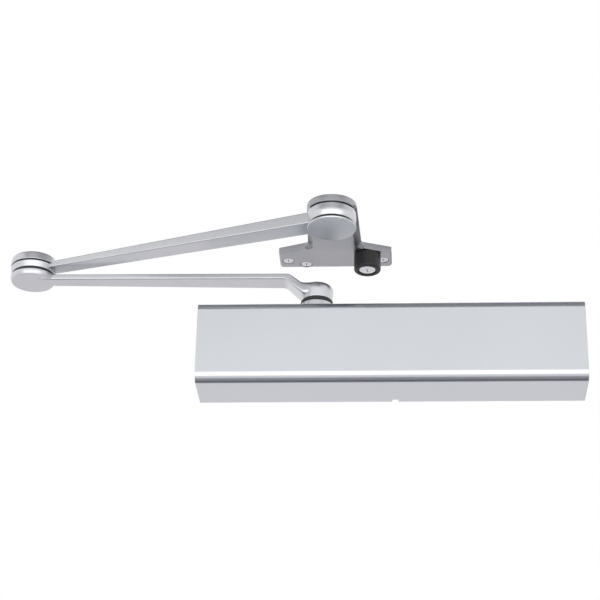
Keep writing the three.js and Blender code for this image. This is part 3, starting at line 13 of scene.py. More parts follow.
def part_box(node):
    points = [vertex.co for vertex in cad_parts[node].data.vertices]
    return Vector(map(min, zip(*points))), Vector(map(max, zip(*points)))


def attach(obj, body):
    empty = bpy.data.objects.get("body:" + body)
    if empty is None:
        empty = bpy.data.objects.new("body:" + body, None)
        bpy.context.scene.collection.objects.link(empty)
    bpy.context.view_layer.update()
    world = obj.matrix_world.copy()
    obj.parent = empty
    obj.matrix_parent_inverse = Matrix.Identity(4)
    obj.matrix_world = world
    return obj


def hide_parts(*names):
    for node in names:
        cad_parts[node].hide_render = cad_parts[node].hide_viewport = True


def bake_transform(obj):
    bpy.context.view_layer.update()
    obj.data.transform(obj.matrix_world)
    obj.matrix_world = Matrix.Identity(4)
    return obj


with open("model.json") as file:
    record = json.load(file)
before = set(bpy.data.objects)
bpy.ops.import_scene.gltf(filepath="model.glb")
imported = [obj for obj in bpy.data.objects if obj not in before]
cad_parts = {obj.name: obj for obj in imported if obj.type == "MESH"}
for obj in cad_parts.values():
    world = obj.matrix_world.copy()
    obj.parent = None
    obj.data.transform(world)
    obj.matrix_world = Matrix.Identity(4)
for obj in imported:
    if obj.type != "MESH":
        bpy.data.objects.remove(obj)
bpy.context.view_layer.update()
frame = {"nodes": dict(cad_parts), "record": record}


# ---------------------------------------------------------------- camera
# A long lens held about 1.5 m away, under the closer, and tipped up at it. The three turns are
# the swing to the left, the tilt up from level and the slight lean of the hand.

CAMERA_PLACE = (0.07116, -1.35208, -0.62493)
LENS_MM = 108.99
SWING, TILT, LEAN = np.radians([3.6652, 26.779, 1.1714])

camera = bpy.data.objects.new("camera", bpy.data.cameras.new("camera"))
camera.data.lens = LENS_MM
camera.matrix_world = (
    Matrix.Translation(CAMERA_PLACE)
    @ Matrix.Rotation(SWING, 4, "Z")
    @ Matrix.Rotation(np.pi / 2 + TILT, 4, "X")
    @ Matrix.Rotation(LEAN, 4, "Z")
)
bpy.context.scene.collection.objects.link(camera)
bpy.context.scene.camera = camera


# ---------------------------------------------------------------- studio
# A white room with a pale floor two metres down, as far as a door closer hangs above one. A
# low soft box in front lights the rounded lower edges, and grey cards, which only reflections
# see, give the metal something darker to mirror.

FLOOR_DROP = 2.0
FLOOR_HALF = 9.0
ROOM_WHITE = "#ffffff"
CARDS = {
    # name: middle, half width, half depth, what it faces, colour
    "card_above": ((0.05, -0.42, 1.0), 1.15, 0.93, (0, 0, -1), "#989a9e"),
    "card_below": ((0.10, 0.50, -1.0), 1.0, 0.42, (0, 0, 1), "#7a7c80"),
    "card_below_front": ((0.10, -0.24, -1.0), 1.0, 0.32, (0, 0, 1), "#a6a8ac"),
    "card_behind_right": ((0.80, 1.30, 0.02), 0.42, 0.30, (-0.45, -0.89, 0), "#2c2e33"),
}
SOFT_BOX = {"place": (0.1, -2.4, -0.42), "width": 5.0, "height": 2.0, "watts": 29.0}


def linear(code):
    """The linear colour of an sRGB hex code, opaque: each channel above 0.04 is raised to 2.4."""
    level = np.array([int(code[i:i + 2], 16) for i in (1, 3, 5)]) / 255
    low, high = level / 12.92, ((level + 0.055) / 1.055) ** 2.4
    return (*np.where(level <= 0.04045, low, high).tolist(), 1.0)


def add(tree, kind, settings=None, links=None):
    """Adds a node: settings fill its named sockets or properties, links join its sockets."""
    made = tree.nodes.new(kind)
    for key, value in (settings or {}).items():
        if key in made.inputs:
            made.inputs[key].default_value = value
        else:
            setattr(made, key, value)
    for key, output in (links or {}).items():
        tree.links.new(output, made.inputs[key])
    return made


def matt(name, code):
    """A matt paint for the floor and the cards."""
    material = bpy.data.materials.new(name)
    material.use_nodes = True
    shader = material.node_tree.nodes["Principled BSDF"]
    shader.inputs["Base Color"].default_value = linear(code)
    shader.inputs["Roughness"].default_value = 0.9
    shader.inputs["Specular IOR Level"].default_value = 0.0
    return material


def card(name, middle, half_width, half_depth, facing, code):
    """A rectangle about its middle, square to the direction that it faces."""
    turn = Vector(facing).to_track_quat("Z", "Y").to_matrix()
    signs = ((-1, -1), (1, -1), (1, 1), (-1, 1))
    corners = [Vector((half_width * i, half_depth * j, 0)) for i, j in signs]
    mesh = bpy.data.meshes.new(name)
    mesh.from_pydata([turn @ corner + Vector(middle) for corner in corners], [], [range(4)])
    mesh.materials.append(matt(f"{name} matt paint", code))
    made = bpy.data.objects.new(name, mesh)
    bpy.context.scene.collection.objects.link(made)
    return made


card("floor", (0, 0, -FLOOR_DROP), FLOOR_HALF, FLOOR_HALF, (0, 0, 1), "#efedf0")
for card_name, facts in CARDS.items():
    card(card_name, *facts).visible_camera = False

room = bpy.data.worlds.new("white room")
room.use_nodes = True
room.node_tree.nodes["Background"].inputs["Color"].default_value = linear(ROOM_WHITE)
room.node_tree.nodes["Background"].inputs["Strength"].default_value = 1.0
bpy.context.scene.world = room
bpy.context.scene.view_settings.view_transform = "Standard"

soft_box = bpy.data.objects.new("soft_box", bpy.data.lights.new("soft_box", "AREA"))
soft_box.data.shape = "RECTANGLE"
soft_box.data.size = SOFT_BOX["width"]
soft_box.data.size_y = SOFT_BOX["height"]
soft_box.data.energy = SOFT_BOX["watts"]
soft_box.location = SOFT_BOX["place"]
soft_box.rotation_mode = "QUATERNION"
soft_box.rotation_quaternion = Vector(SOFT_BOX["place"]).to_track_quat("Z", "Y")
soft_box.visible_camera = False
bpy.context.scene.collection.objects.link(soft_box)


# ---------------------------------------------------------------- cover
# A channel folded from one sheet of steel, open to the door, with rounded folds, a slot in its
# top for the shaft's collar and a small notch in its lower back edge. It is sprayed with a
# satin lacquer full of aluminium flake, and snaps over four spring clips on the casting.

COVER_WALL = 2.0
COVER_FOLD_RADIUS = 7.65
COVER_EDGE = 0.35
SLOT_HALF = 14.5
NOTCH_MIDDLE, NOTCH_WIDTH, NOTCH_DEPTH = 63.6, 4.8, 4.0
CUT_STEP = 0.02  # between the last whole section and a cut's first
CREASE_DEGREES = 35  # edges sharper than this are shaded as edges


def box_mm(node):
    """Lowest and highest corner of a node, in millimetres."""
    low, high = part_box(node)
    return np.array(low) * 1000, np.array(high) * 1000


def middle_mm(node):
    """The middle of a node's box, in millimetres."""
    return sum(box_mm(node)) / 2


def skin(rings, closed=False):
    """Points and faces of a row of rings, an array (rows, columns, 3): quads join each ring to
    the next, and the row closes on itself or ends in two flat caps. If the sum of the signed
    volumes under its triangles is negative, every face is turned round to face out."""
    rings = np.asarray(rings, float)
    rows, columns = rings.shape[:2]
    index = np.arange(rows * columns).reshape(rows, columns)
    here = index if closed else index[:-1]
    there = np.roll(index, -1, axis=0) if closed else index[1:]
    quads = np.stack([here, np.roll(here, -1, 1), np.roll(there, -1, 1), there], -1)
    quads = quads.reshape(-1, 4)
    points = rings.reshape(-1, 3)
    caps = [] if closed else [index[0][::-1], index[-1]]
    fans = [np.stack([np.full(len(c) - 2, c[0]), c[1:-1], c[2:]], -1) for c in caps]
    triangles = np.concatenate([quads[:, [0, 1, 2]], quads[:, [0, 2, 3]], *fans])
    a, b, c = (points[triangles[:, k]] for k in range(3))
    faces = quads.tolist() + [cap.tolist() for cap in caps]
    if (a * np.cross(b, c)).sum() < 0:
        faces = [face[::-1] for face in faces]
    return points, faces


def piece(name, material, body, nodes, surfaces):
    """One object of several surfaces in millimetres, standing for nodes and riding on a body,
    when one is given."""
    starts = np.cumsum([0] + [len(points) for points, _ in surfaces])
    points = np.concatenate([points for points, _ in surfaces]) / 1000
    faces = [
        [corner + start for corner in face]
        for start, (_, part) in zip(starts.tolist(), surfaces) for face in part
    ]
    mesh = bpy.data.meshes.new(name)
    mesh.from_pydata(points, [], faces)
    mesh.polygons.foreach_set("use_smooth", np.ones(len(faces), bool))
    mesh.set_sharp_from_angle(angle=np.radians(CREASE_DEGREES))
    mesh.materials.append(material)
    made = bpy.data.objects.new(name, mesh)
    bpy.context.scene.collection.objects.link(made)
    flat = made.modifiers.new("flats stay flat", "WEIGHTED_NORMAL")
    flat.keep_sharp = True
    flat.weight = 80
    if body:
        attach(made, body)
    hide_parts(*nodes)
    return made


def finish(name, light, dark, metallic, roughness, swing, tone_mm, grain_mm, relief_mm,
           stretch=(1, 1, 1)):
    """A material whose colour wanders from dark to light over patches tone_mm across, and whose
    roughness (by swing either way) and height (by relief_mm) follow a grain of grain_mm, drawn
    out along an axis where stretch is under 1 and packed closer where it is over 1."""
    material = bpy.data.materials.new(name)
    material.use_nodes = True
    tree = material.node_tree
    shader = tree.nodes["Principled BSDF"]
    shader.inputs["Metallic"].default_value = metallic
    place = add(tree, "ShaderNodeTexCoord").outputs["Object"]
    drawn = add(tree, "ShaderNodeMapping", {"Scale": stretch}, {"Vector": place})
    tone = add(tree, "ShaderNodeTexNoise", {"Scale": 1000 / tone_mm, "Detail": 3.0},
               {"Vector": place})
    grain = add(tree, "ShaderNodeTexNoise", {"Scale": 1000 / grain_mm, "Detail": 2.0},
                {"Vector": drawn.outputs["Vector"]})
    colour = add(tree, "ShaderNodeMix", {"data_type": "RGBA"}, {"Factor": tone.outputs["Fac"]})
    ends = [socket for socket in colour.inputs if socket.type == "RGBA"]
    ends[0].default_value, ends[1].default_value = linear(dark), linear(light)
    result = next(socket for socket in colour.outputs if socket.type == "RGBA")
    tree.links.new(result, shader.inputs["Base Color"])
    dull = add(tree, "ShaderNodeMapRange",
               {"To Min": roughness - swing, "To Max": roughness + swing},
               {"Value": grain.outputs["Fac"]})
    tree.links.new(dull.outputs["Result"], shader.inputs["Roughness"])
    bump = add(tree, "ShaderNodeBump", {"Strength": 1.0, "Distance": relief_mm / 1000},
               {"Height": grain.outputs["Fac"]})
    tree.links.new(bump.outputs["Normal"], shader.inputs["Normal"])
    return material


def rounded(corners, radii, steps=8, loop=True):
    """A flat outline with each corner replaced by an arc of its radius: the arc's centre lies
    on the line that halves the corner, and its points swing evenly from one tangent point to
    the other. A radius of 0 keeps the corner."""
    corner = np.array(corners, float)
    radius = np.broadcast_to(np.array(radii, float), len(corner))[:, None]
    back, on = np.roll(corner, 1, 0) - corner, np.roll(corner, -1, 0) - corner
    back /= np.linalg.norm(back, axis=1, keepdims=True)
    on /= np.linalg.norm(on, axis=1, keepdims=True)
    half = np.arccos(np.clip((back * on).sum(1, keepdims=True), -0.999999, 0.999999)) / 2
    halving = back + on
    halving /= np.maximum(np.linalg.norm(halving, axis=1, keepdims=True), 1e-9)
    centre = corner + halving * radius / np.sin(half)
    first = corner + back * radius / np.tan(half) - centre
    last = corner + on * radius / np.tan(half) - centre
    swing = np.pi - 2 * half
    t = np.linspace(0, 1, steps + 1)[:, None, None]
    arcs = (np.sin((1 - t) * swing) * first + np.sin(t * swing) * last) / np.sin(swing) + centre
    points = arcs.transpose(1, 0, 2).reshape(-1, 2)
    step = np.linalg.norm(points - np.roll(points, 1, 0), axis=1)
    keep = step > 1e-6
    keep[0] = True if not loop else keep[0]
    return points[keep]


def cover_rings(low, high):
    """The folded sheet as closed outlines in y, z at stations along x: out along the top, round
    both folds and back along the bottom, then the same inside. The top's back end follows the
    slot's half circle, y = middle - sqrt(r^2 - x^2), and the bottom's steps in at the notch."""
    left, right, back, top = low[0], high[0], high[1], high[2]
    front, wall, fold = low[1], COVER_WALL, COVER_FOLD_RADIUS
    turn = np.linspace(0, np.pi / 2, 13)
    slot = SLOT_HALF * np.sin(np.linspace(-np.pi / 2, np.pi / 2, 25))
    notch = NOTCH_MIDDLE + np.array([-0.5, 0.5]) * NOTCH_WIDTH
    swing = np.linspace(0, np.pi / 2, 5)
    from_end = COVER_EDGE * (1 - np.cos(swing))
    x = np.concatenate([
        left + from_end, [slot[0] - CUT_STEP], slot, [slot[-1] + CUT_STEP],
        [notch[0] - CUT_STEP, notch[0], notch[1], notch[1] + CUT_STEP], (right - from_end)[::-1],
    ])
    inset = np.zeros(len(x))
    inset[:5] = COVER_EDGE * (1 - np.sin(swing))
    inset[-5:] = inset[4::-1]
    in_slot = np.abs(x) <= SLOT_HALF + 1e-9
    axis_y = middle_mm("pinion_shaft")[1]
    reach = np.sqrt(np.maximum(SLOT_HALF ** 2 - x ** 2, 0))
    top_end = np.where(in_slot, axis_y - reach, back)
    in_notch = (x >= notch[0] - 1e-9) & (x <= notch[1] + 1e-9)
    low_end = np.where(in_notch, back - NOTCH_DEPTH, back)

    def outline(shift):
        """One side of the sheet, shift inwards from its outer face."""
        r = fold - shift
        column = np.ones(len(x))
        y = [top_end] + [(front + fold - r * np.sin(a)) * column for a in turn]
        y += [(front + fold - r * np.cos(a)) * column for a in turn] + [low_end]
        z = [(top - shift) * column] + [(top - fold + r * np.cos(a)) * column for a in turn]
        z += [(-top + fold - r * np.sin(a)) * column for a in turn] + [(shift - top) * column]
        return np.stack([np.array(y), np.array(z)], -1)

    outer, inner = outline(0.0), outline(wall)
    middle = (outer + inner) / 2
    squeeze = (1 - 2 * inset / wall)[None, :, None]
    outer, inner = middle + (outer - middle) * squeeze, middle + (inner - middle) * squeeze
    loop = np.concatenate([outer, inner[::-1]])
    along = np.broadcast_to(x[None, :, None], (*loop.shape[:2], 1))
    return np.concatenate([along, loop], -1).transpose(1, 0, 2)


# Satin lacquer on steel sheet: one even, faintly bluish silver with a soft sheen; the flake
# shows as a sparkle under half a millimetre and the spray as a barely dimpled surface.
sheet_lacquer = finish("aluminium-flake lacquer sprayed on steel sheet", "#d7dade", "#cdd0d5",
                       1.0, 0.24, 0.03, 120, 0.45, 0.004)
cover_low, cover_high = box_mm("cover")
piece("cover_shell", sheet_lacquer, "closer_body", ["cover"],
      [skin(cover_rings(cover_low, cover_high))])


# ---------------------------------------------------------------- collar and dust ring
# The upper pinion nut is a turned and ground steel gland that stands up through the cover's
# slot. A black moulded nylon ring between it and the arm's hub keeps dust off the seal.

SHAFT_HOLE, CLEARANCE = 8.3, 0.3
COLLAR_RIM_ROUND, COLLAR_FOOT_ROUND, SEAL_SEAT_ROUND = 0.6, 0.4, 0.2
DUST_RING_ROUND, BORE_ROUND = 0.5, 0.1


def round_radius(node):
    """Half the width of a round node, in millimetres."""
    low, high = box_mm(node)
    return (high[0] - low[0]) / 2


def turned(profile, centre, sides=96, closed=False, cross=0.0, cross_rows=0):
    """A profile of [radius, height] turned about an upright line: radius r and height z become
    the circle (x + r cos t, y + r sin t, z). In the first cross_rows circles the radius is also
    multiplied by 1 + cross cos 4t, which gives a driver's cross recess."""
    radius, height = np.array(profile, float).T[:, :, None]
    t = np.linspace(0, 2 * np.pi, sides, endpoint=False)
    wave = np.where(np.arange(len(radius))[:, None] < cross_rows, cross, 0) * np.cos(4 * t)
    radius = radius * (1 + wave)
    x, y = centre[0] + radius * np.cos(t), centre[1] + radius * np.sin(t)
    return skin(np.stack([x, y, np.broadcast_to(height, x.shape)], -1), closed)


def solid_profile(corners, radii):
    """A rounded outline from the axis out and back to it, without the two points on the axis."""
    return rounded(corners, radii, loop=False)[1:-1]


def ring_profile(inner, outer, low, high, rim_round):
    """The outline of a ring's section."""
    corners = [(inner, low), (outer, low), (outer, high), (inner, high)]
    return rounded(corners, (BORE_ROUND, rim_round, rim_round, BORE_ROUND), 5)


# Turned and ground steel: bright and grey, with fine rings left by the tool.
turned_steel = finish("turned and ground steel", "#d6d8db", "#c4c6ca", 1.0, 0.26, 0.04, 60,
                      0.25, 0.003, stretch=(1, 1, 4))
# Black nylon, moulded: dull and slightly grey where it catches the light.
black_nylon = finish("black moulded nylon", "#2b2c2f", "#202124", 0.0, 0.48, 0.05, 30, 0.3, 0.004)

nut_low, nut_high = box_mm("upper_pinion_nut")
nut_radius = round_radius("upper_pinion_nut")
axis = middle_mm("pinion_shaft")
seal_seat = round_radius("shaft_seal") + CLEARANCE
seat_bottom = box_mm("shaft_seal")[0][2] - CLEARANCE
collar_section = rounded([
    (SHAFT_HOLE, nut_low[2]), (nut_radius, nut_low[2]), (nut_radius, nut_high[2]),
    (seal_seat, nut_high[2]), (seal_seat, seat_bottom), (SHAFT_HOLE, seat_bottom),
], (BORE_ROUND, COLLAR_FOOT_ROUND, COLLAR_RIM_ROUND, SEAL_SEAT_ROUND, BORE_ROUND, BORE_ROUND), 4)
piece("collar_nut", turned_steel, "closer_body", ["upper_pinion_nut"],
      [turned(collar_section, axis, closed=True)])
dust_low, dust_high = box_mm("dust_ring")
dust_section = ring_profile(SHAFT_HOLE, round_radius("dust_ring"), dust_low[2], dust_high[2],
                            DUST_RING_ROUND)
piece("dust_ring_moulded", black_nylon, "arm", ["dust_ring"],
      [turned(dust_section, axis, closed=True)])


# ---------------------------------------------------------------- main arm
# A steel forging: a hub on the shaft's square, a flat tapering strap that steps up over the
# cover in a short joggle, and a round elbow disc at its end. It is sprayed like the cover. A
# hexagon screw and a washer, zinc plated, draw the hub down onto the shaft.

HUB_RADIUS, HUB_HEIGHT, HUB_DRAFT = 13.4, 14.0, 0.7
HUB_DRAFT_SHARE = 0.55  # of the hub's height, from its foot up to where the side is upright
HUB_FOOT_ROUND, HUB_DRAFT_ROUND, HUB_TOP_ROUND = 0.5, 12.0, 4.6
STRAP_THICKNESS, STRAP_ROUND = 4.7, 1.0
STRAP_WIDTH_HUB, STRAP_WIDTH_ELBOW = 18.6, 12.6
STRAP_SLOPE, STRAP_ROOT_LIFT, STRAP_PARALLEL = 2.9, 2.5, 4.0
JOGGLE_LENGTH, JOGGLE_LEAN, JOGGLE_ROUND = 9.3, 3.0, 7.0
STRAP_START, JOGGLE_PAST, STATIONS = -4.0, -40.0, 60
ELBOW_DISC_RADIUS, ELBOW_DISC_STEP, DISC_OVER_STRAP = 18.65, 0.2, 0.02
ELBOW_BEVELS = (1.3, 0.3)  # the rim's inset at the face, and at the belly
ELBOW_BELLY = 2.0  # height of the belly over the face
ELBOW_ROUNDS = (0.25, 3.0, 1.0)
HEX_ACROSS_FLATS, HEX_CORNER_ROUND = 13.0, 0.5
HEX_LEVELS = ((0.97, 5.0), (1.0, 4.8), (1.0, 0.7), (0.96, 0.3), (0.84, 0.0))  # size, drop
ARM_WASHER_BORE, ARM_WASHER_ROUND = 4.7, 0.35
ARM_SCREW_RADIUS, ARM_SCREW_TIP_RADIUS, ARM_SCREW_TIP = 4.0, 3.4, 0.6
SUNK = 0.1  # depth of one surface inside another that it grows out of


def bar(x, half_width, low, high, radius, steps=5):
    """Rings of a rectangular bar with rounded edges at stations along x: each quarter circle
    stands in its own corner, at the half width and half height less the radius, which may
    change from station to station."""
    quarter = np.linspace(0, np.pi / 2, steps + 1)
    turn = (np.arange(4)[:, None] * np.pi / 2 + quarter).ravel()
    side_y = np.repeat([1, -1, -1, 1], steps + 1)
    side_z = np.repeat([1, 1, -1, -1], steps + 1)
    x, half_width, low, high, radius = (np.broadcast_to(v, np.shape(x))[:, None]
                                        for v in (x, half_width, low, high, radius))
    y = side_y * (half_width - radius) + radius * np.cos(turn)
    z = (low + high) / 2 + side_z * ((high - low) / 2 - radius) + radius * np.sin(turn)
    return np.stack([np.broadcast_to(x, y.shape), y, z], -1)


def height_along(x, corners, radius):
    """The height at x of a line through corners of [x, z] whose bends are rounded."""
    radii = [0] + [radius] * (len(corners) - 2) + [0]
    line = rounded(corners, radii, 12, loop=False)
    line = line[np.argsort(line[:, 0], kind="stable")]
    return np.interp(x, line[:, 0], line[:, 1])


# The same lacquer on forged steel: a little darker, with the forging's faint unevenness and
# the soft dimples of a thicker coat.
forged_lacquer = finish("aluminium-flake lacquer sprayed on forged steel", "#d6d7da", "#c8cace",
                        1.0, 0.29, 0.04, 60, 0.9, 0.012)
# Bright zinc plate: almost white, and smooth.
zinc_plate = finish("bright zinc plate on turned steel", "#e2e4e6", "#d2d5d8", 1.0, 0.22, 0.04,
                    8, 0.2, 0.002)

arm_low, arm_high = box_mm("main_arm")
elbow = middle_mm("elbow_stud")
hub_low, disc_top = arm_low[2], arm_high[2]
hub_top = hub_low + HUB_HEIGHT
strap_top_elbow = disc_top - ELBOW_DISC_STEP
strap_top_hub = strap_top_elbow - STRAP_SLOPE
knee = -HUB_RADIUS - JOGGLE_LENGTH
strap_x = np.concatenate([np.linspace(STRAP_START, JOGGLE_PAST, STATIONS),
                          np.linspace(JOGGLE_PAST - 2, elbow[0], STATIONS)])
strap_high = height_along(strap_x, [
    (0, hub_top), (-HUB_RADIUS + 1, hub_top), (knee, strap_top_hub),
    (elbow[0], strap_top_elbow),
], JOGGLE_ROUND)
root_low = hub_low + STRAP_ROOT_LIFT
strap_low = height_along(strap_x, [
    (0, root_low), (-HUB_RADIUS + JOGGLE_LEAN, root_low),
    (knee - JOGGLE_LEAN, strap_top_hub - STRAP_THICKNESS),
    (elbow[0], strap_top_elbow - STRAP_THICKNESS),
], JOGGLE_ROUND)
# The strap flares to the hub's side where a ray at 60 degrees to the arm meets it.
flare_x, flare_half = -HUB_RADIUS / 2, HUB_RADIUS * np.sqrt(0.75) - SUNK
strap_half = np.interp(
    strap_x, [elbow[0], knee - STRAP_PARALLEL, knee, flare_x, 0],
    [STRAP_WIDTH_ELBOW / 2, STRAP_WIDTH_HUB / 2, STRAP_WIDTH_HUB / 2, flare_half,
     HUB_RADIUS - SUNK],
)
strap_round = np.interp(strap_x, [knee, -2], [STRAP_ROUND, HUB_TOP_ROUND - SUNK])
strap = bar(strap_x, strap_half, strap_low, strap_high, strap_round)
strap[..., 1] += axis[1]
hub_section = solid_profile([
    (0, hub_low), (HUB_RADIUS - HUB_DRAFT, hub_low),
    (HUB_RADIUS, hub_low + HUB_HEIGHT * HUB_DRAFT_SHARE), (HUB_RADIUS, hub_top), (0, hub_top),
], (0, HUB_FOOT_ROUND, HUB_DRAFT_ROUND, HUB_TOP_ROUND, 0))
disc_low = strap_top_elbow - STRAP_THICKNESS - DISC_OVER_STRAP
elbow_section = solid_profile([
    (0, disc_low), (ELBOW_DISC_RADIUS - ELBOW_BEVELS[0], disc_low),
    (ELBOW_DISC_RADIUS - ELBOW_BEVELS[1], disc_low + ELBOW_BELLY),
    (ELBOW_DISC_RADIUS, disc_top), (0, disc_top),
], (0, *ELBOW_ROUNDS, 0))
piece("main_arm_forging", forged_lacquer, "arm", ["main_arm"],
      [turned(hub_section, axis, 128), skin(strap), turned(elbow_section, elbow, 128)])

washer_low, washer_high = box_mm("arm_washer")
washer_section = ring_profile(ARM_WASHER_BORE, round_radius("arm_washer"), washer_low[2],
                              washer_high[2], ARM_WASHER_ROUND)
piece("arm_washer_turned", zinc_plate, "arm", ["arm_washer"],
      [turned(washer_section, axis, closed=True)])
screw_low, screw_high = box_mm("arm_screw")
hex_turn = np.radians(np.arange(6) * 60 + 30)
hex_corners = HEX_ACROSS_FLATS / np.sqrt(3) * np.stack([np.cos(hex_turn), np.sin(hex_turn)], -1)
hexagon = rounded(hex_corners, HEX_CORNER_ROUND, 4)
hex_rings = np.stack([
    np.column_stack([hexagon * size + axis[:2], np.full(len(hexagon), screw_high[2] - drop)])
    for size, drop in HEX_LEVELS
])
shank = [(ARM_SCREW_TIP_RADIUS, screw_low[2]), (ARM_SCREW_RADIUS, screw_low[2] + ARM_SCREW_TIP),
         (ARM_SCREW_RADIUS, washer_high[2] + 4 * SUNK)]
piece("arm_screw_hexagon", zinc_plate, "arm", ["arm_screw"],
      [skin(hex_rings), turned(shank, axis, 48)])


# ---------------------------------------------------------------- forearm
# A second forging: a flat bar, thickening and widening from the elbow to the shoe, with a round
# knuckle at each end that turns between the discs on a stud. Sprayed like the main arm.

FOREARM_WIDTHS, FOREARM_ROUND = (13.1, 18.4), 0.8
FOREARM_UNDERCUT, SHOE_UNDERCUT = 1.9, 0.3
SHOULDER_GAP, SHOULDER_LENGTH, SHOULDER_RISE, SHOULDER_ROUND = 1.7, 4.0, 1.9, 2.0
SHOULDER_PAST = 34.0
ELBOW_KNUCKLE_RADIUS, ELBOW_KNUCKLE_HEIGHT, ELBOW_KNUCKLE_DRAFT = 19.0, 5.55, 1.0
ELBOW_KNUCKLE_ROUNDS = (0.7, 0.5)
SHOE_KNUCKLE_RADIUS, SHOE_KNUCKLE_HEIGHT, SHOE_KNUCKLE_BELLY = 19.5, 10.5, 4.0
SHOE_KNUCKLE_DRAFTS, SHOE_KNUCKLE_ROUNDS = (1.4, 0.4), (1.2, 9.0, 0.6)
ELBOW_CAP_DRAFT, ELBOW_CAP_ROUNDS = 0.5, (0.5, 1.8)

forearm_low, forearm_high = box_mm("forearm")
shoe_pivot = middle_mm("shoe_stud")
reach = shoe_pivot[:2] - elbow[:2]
length, lie = np.hypot(*reach), np.arctan2(reach[1], reach[0])
elbow_top = forearm_low[2] + ELBOW_KNUCKLE_HEIGHT
shoe_low = forearm_high[2] - SHOE_KNUCKLE_HEIGHT
bar_x = np.concatenate([np.linspace(0, SHOULDER_PAST, 40),
                        np.linspace(SHOULDER_PAST + 4, length, 50)])
shoulder = ELBOW_KNUCKLE_RADIUS + SHOULDER_GAP
bar_high = height_along(bar_x, [
    (0, elbow_top - SUNK / 2), (shoulder, elbow_top - SUNK / 2),
    (shoulder + SHOULDER_LENGTH, elbow_top + SHOULDER_RISE),
    (length, forearm_high[2] - SUNK / 2),
], SHOULDER_ROUND)
bar_low = np.interp(bar_x, [0, length],
                    [forearm_low[2] + FOREARM_UNDERCUT, shoe_low + SHOE_UNDERCUT])
bar_half = np.interp(bar_x, [0, length], np.array(FOREARM_WIDTHS) / 2)
forearm_bar = bar(bar_x, bar_half, bar_low, bar_high, FOREARM_ROUND)
along, across = forearm_bar[..., 0], forearm_bar[..., 1]
forearm_bar = np.stack([
    elbow[0] + along * np.cos(lie) - across * np.sin(lie),
    elbow[1] + along * np.sin(lie) + across * np.cos(lie),
    forearm_bar[..., 2],
], -1)
elbow_knuckle = solid_profile([
    (0, forearm_low[2]), (ELBOW_KNUCKLE_RADIUS - ELBOW_KNUCKLE_DRAFT, forearm_low[2]),
    (ELBOW_KNUCKLE_RADIUS, elbow_top), (0, elbow_top),
], (0, *ELBOW_KNUCKLE_ROUNDS, 0))
shoe_knuckle = solid_profile([
    (0, shoe_low), (SHOE_KNUCKLE_RADIUS - SHOE_KNUCKLE_DRAFTS[0], shoe_low),
    (SHOE_KNUCKLE_RADIUS, shoe_low + SHOE_KNUCKLE_BELLY),
    (SHOE_KNUCKLE_RADIUS - SHOE_KNUCKLE_DRAFTS[1], forearm_high[2]), (0, forearm_high[2]),
], (0, *SHOE_KNUCKLE_ROUNDS, 0))
piece("forearm_forging", forged_lacquer, "forearm", ["forearm"], [
    skin(forearm_bar), turned(elbow_knuckle, elbow, 128), turned(shoe_knuckle, shoe_pivot, 128),
])
cap_low, cap_high = box_mm("elbow_cap")
cap_radius = round_radius("elbow_cap")
cap_section = solid_profile([
    (0, cap_low[2]), (cap_radius, cap_low[2]), (cap_radius - ELBOW_CAP_DRAFT, cap_high[2]),
    (0, cap_high[2]),
], (0, *ELBOW_CAP_ROUNDS, 0))
piece("elbow_cap_turned", forged_lacquer, "arm", ["elbow_cap"],
      [turned(cap_section, elbow, 128)])


# ---------------------------------------------------------------- soffit shoe
# A cast bracket screwed up under the door frame: a plate with two ears, and a lug that comes
# forward over the forearm's knuckle. The lug's flanks are cast with a broad chamfer. Sprayed
# with the same lacquer, over the casting's skin.

SHOE_HALF, SHOE_BACK, EAR_FRONT, ROOT_FRONT = 46.5, -7.5, -32.0, -41.5
ROOT_HALF, LUG_HALF, LUG_CORNER = 22.0, 19.1, 18.7
FLANK_WIDTH, FLANK_HEIGHT, EDGE_ROUND = 5.4, 4.2, 0.9
PLATE_ROUNDS = (3, 1, 4, LUG_CORNER, LUG_CORNER, 4, 1, 3)
# The flanks' chamfer grows from in front of the pivot to behind it, and dies out at the root.
FLANK_START, FLANK_GROWTH, FLANK_END = 12.0, 14.0, 4.0
SCREW_HEAD_RADIUS, SCREW_RADIUS, CONE_HEIGHT = 4.6, 2.6, 3.0
LIP_CHAMFER, HEAD_DEPTH = 0.25, 0.35


def crowded(outline, longest):
    """The same outline with its sides cut into steps no longer than a length."""
    ahead = np.roll(outline, -1, 0)
    count = np.ceil(np.linalg.norm(ahead - outline, axis=1) / longest).astype(int).clip(1)
    which = np.repeat(np.arange(len(outline)), count)
    part = (np.arange(len(which)) - np.repeat(np.cumsum(count) - count, count)) / count[which]
    return outline[which] + (ahead - outline)[which] * part[:, None]


def inward(outline):
    """Unit normals of a closed outline that runs anticlockwise, pointing into it."""
    along = np.roll(outline, -1, 0) - np.roll(outline, 1, 0)
    along /= np.linalg.norm(along, axis=1, keepdims=True)
    return np.stack([-along[:, 1], along[:, 0]], -1)


def smooth_step(value, start, stop):
    """0 before start, 1 after stop, and 3t^2 - 2t^3 between them."""
    t = np.clip((value - start) / (stop - start), 0, 1)
    return t * t * (3 - 2 * t)


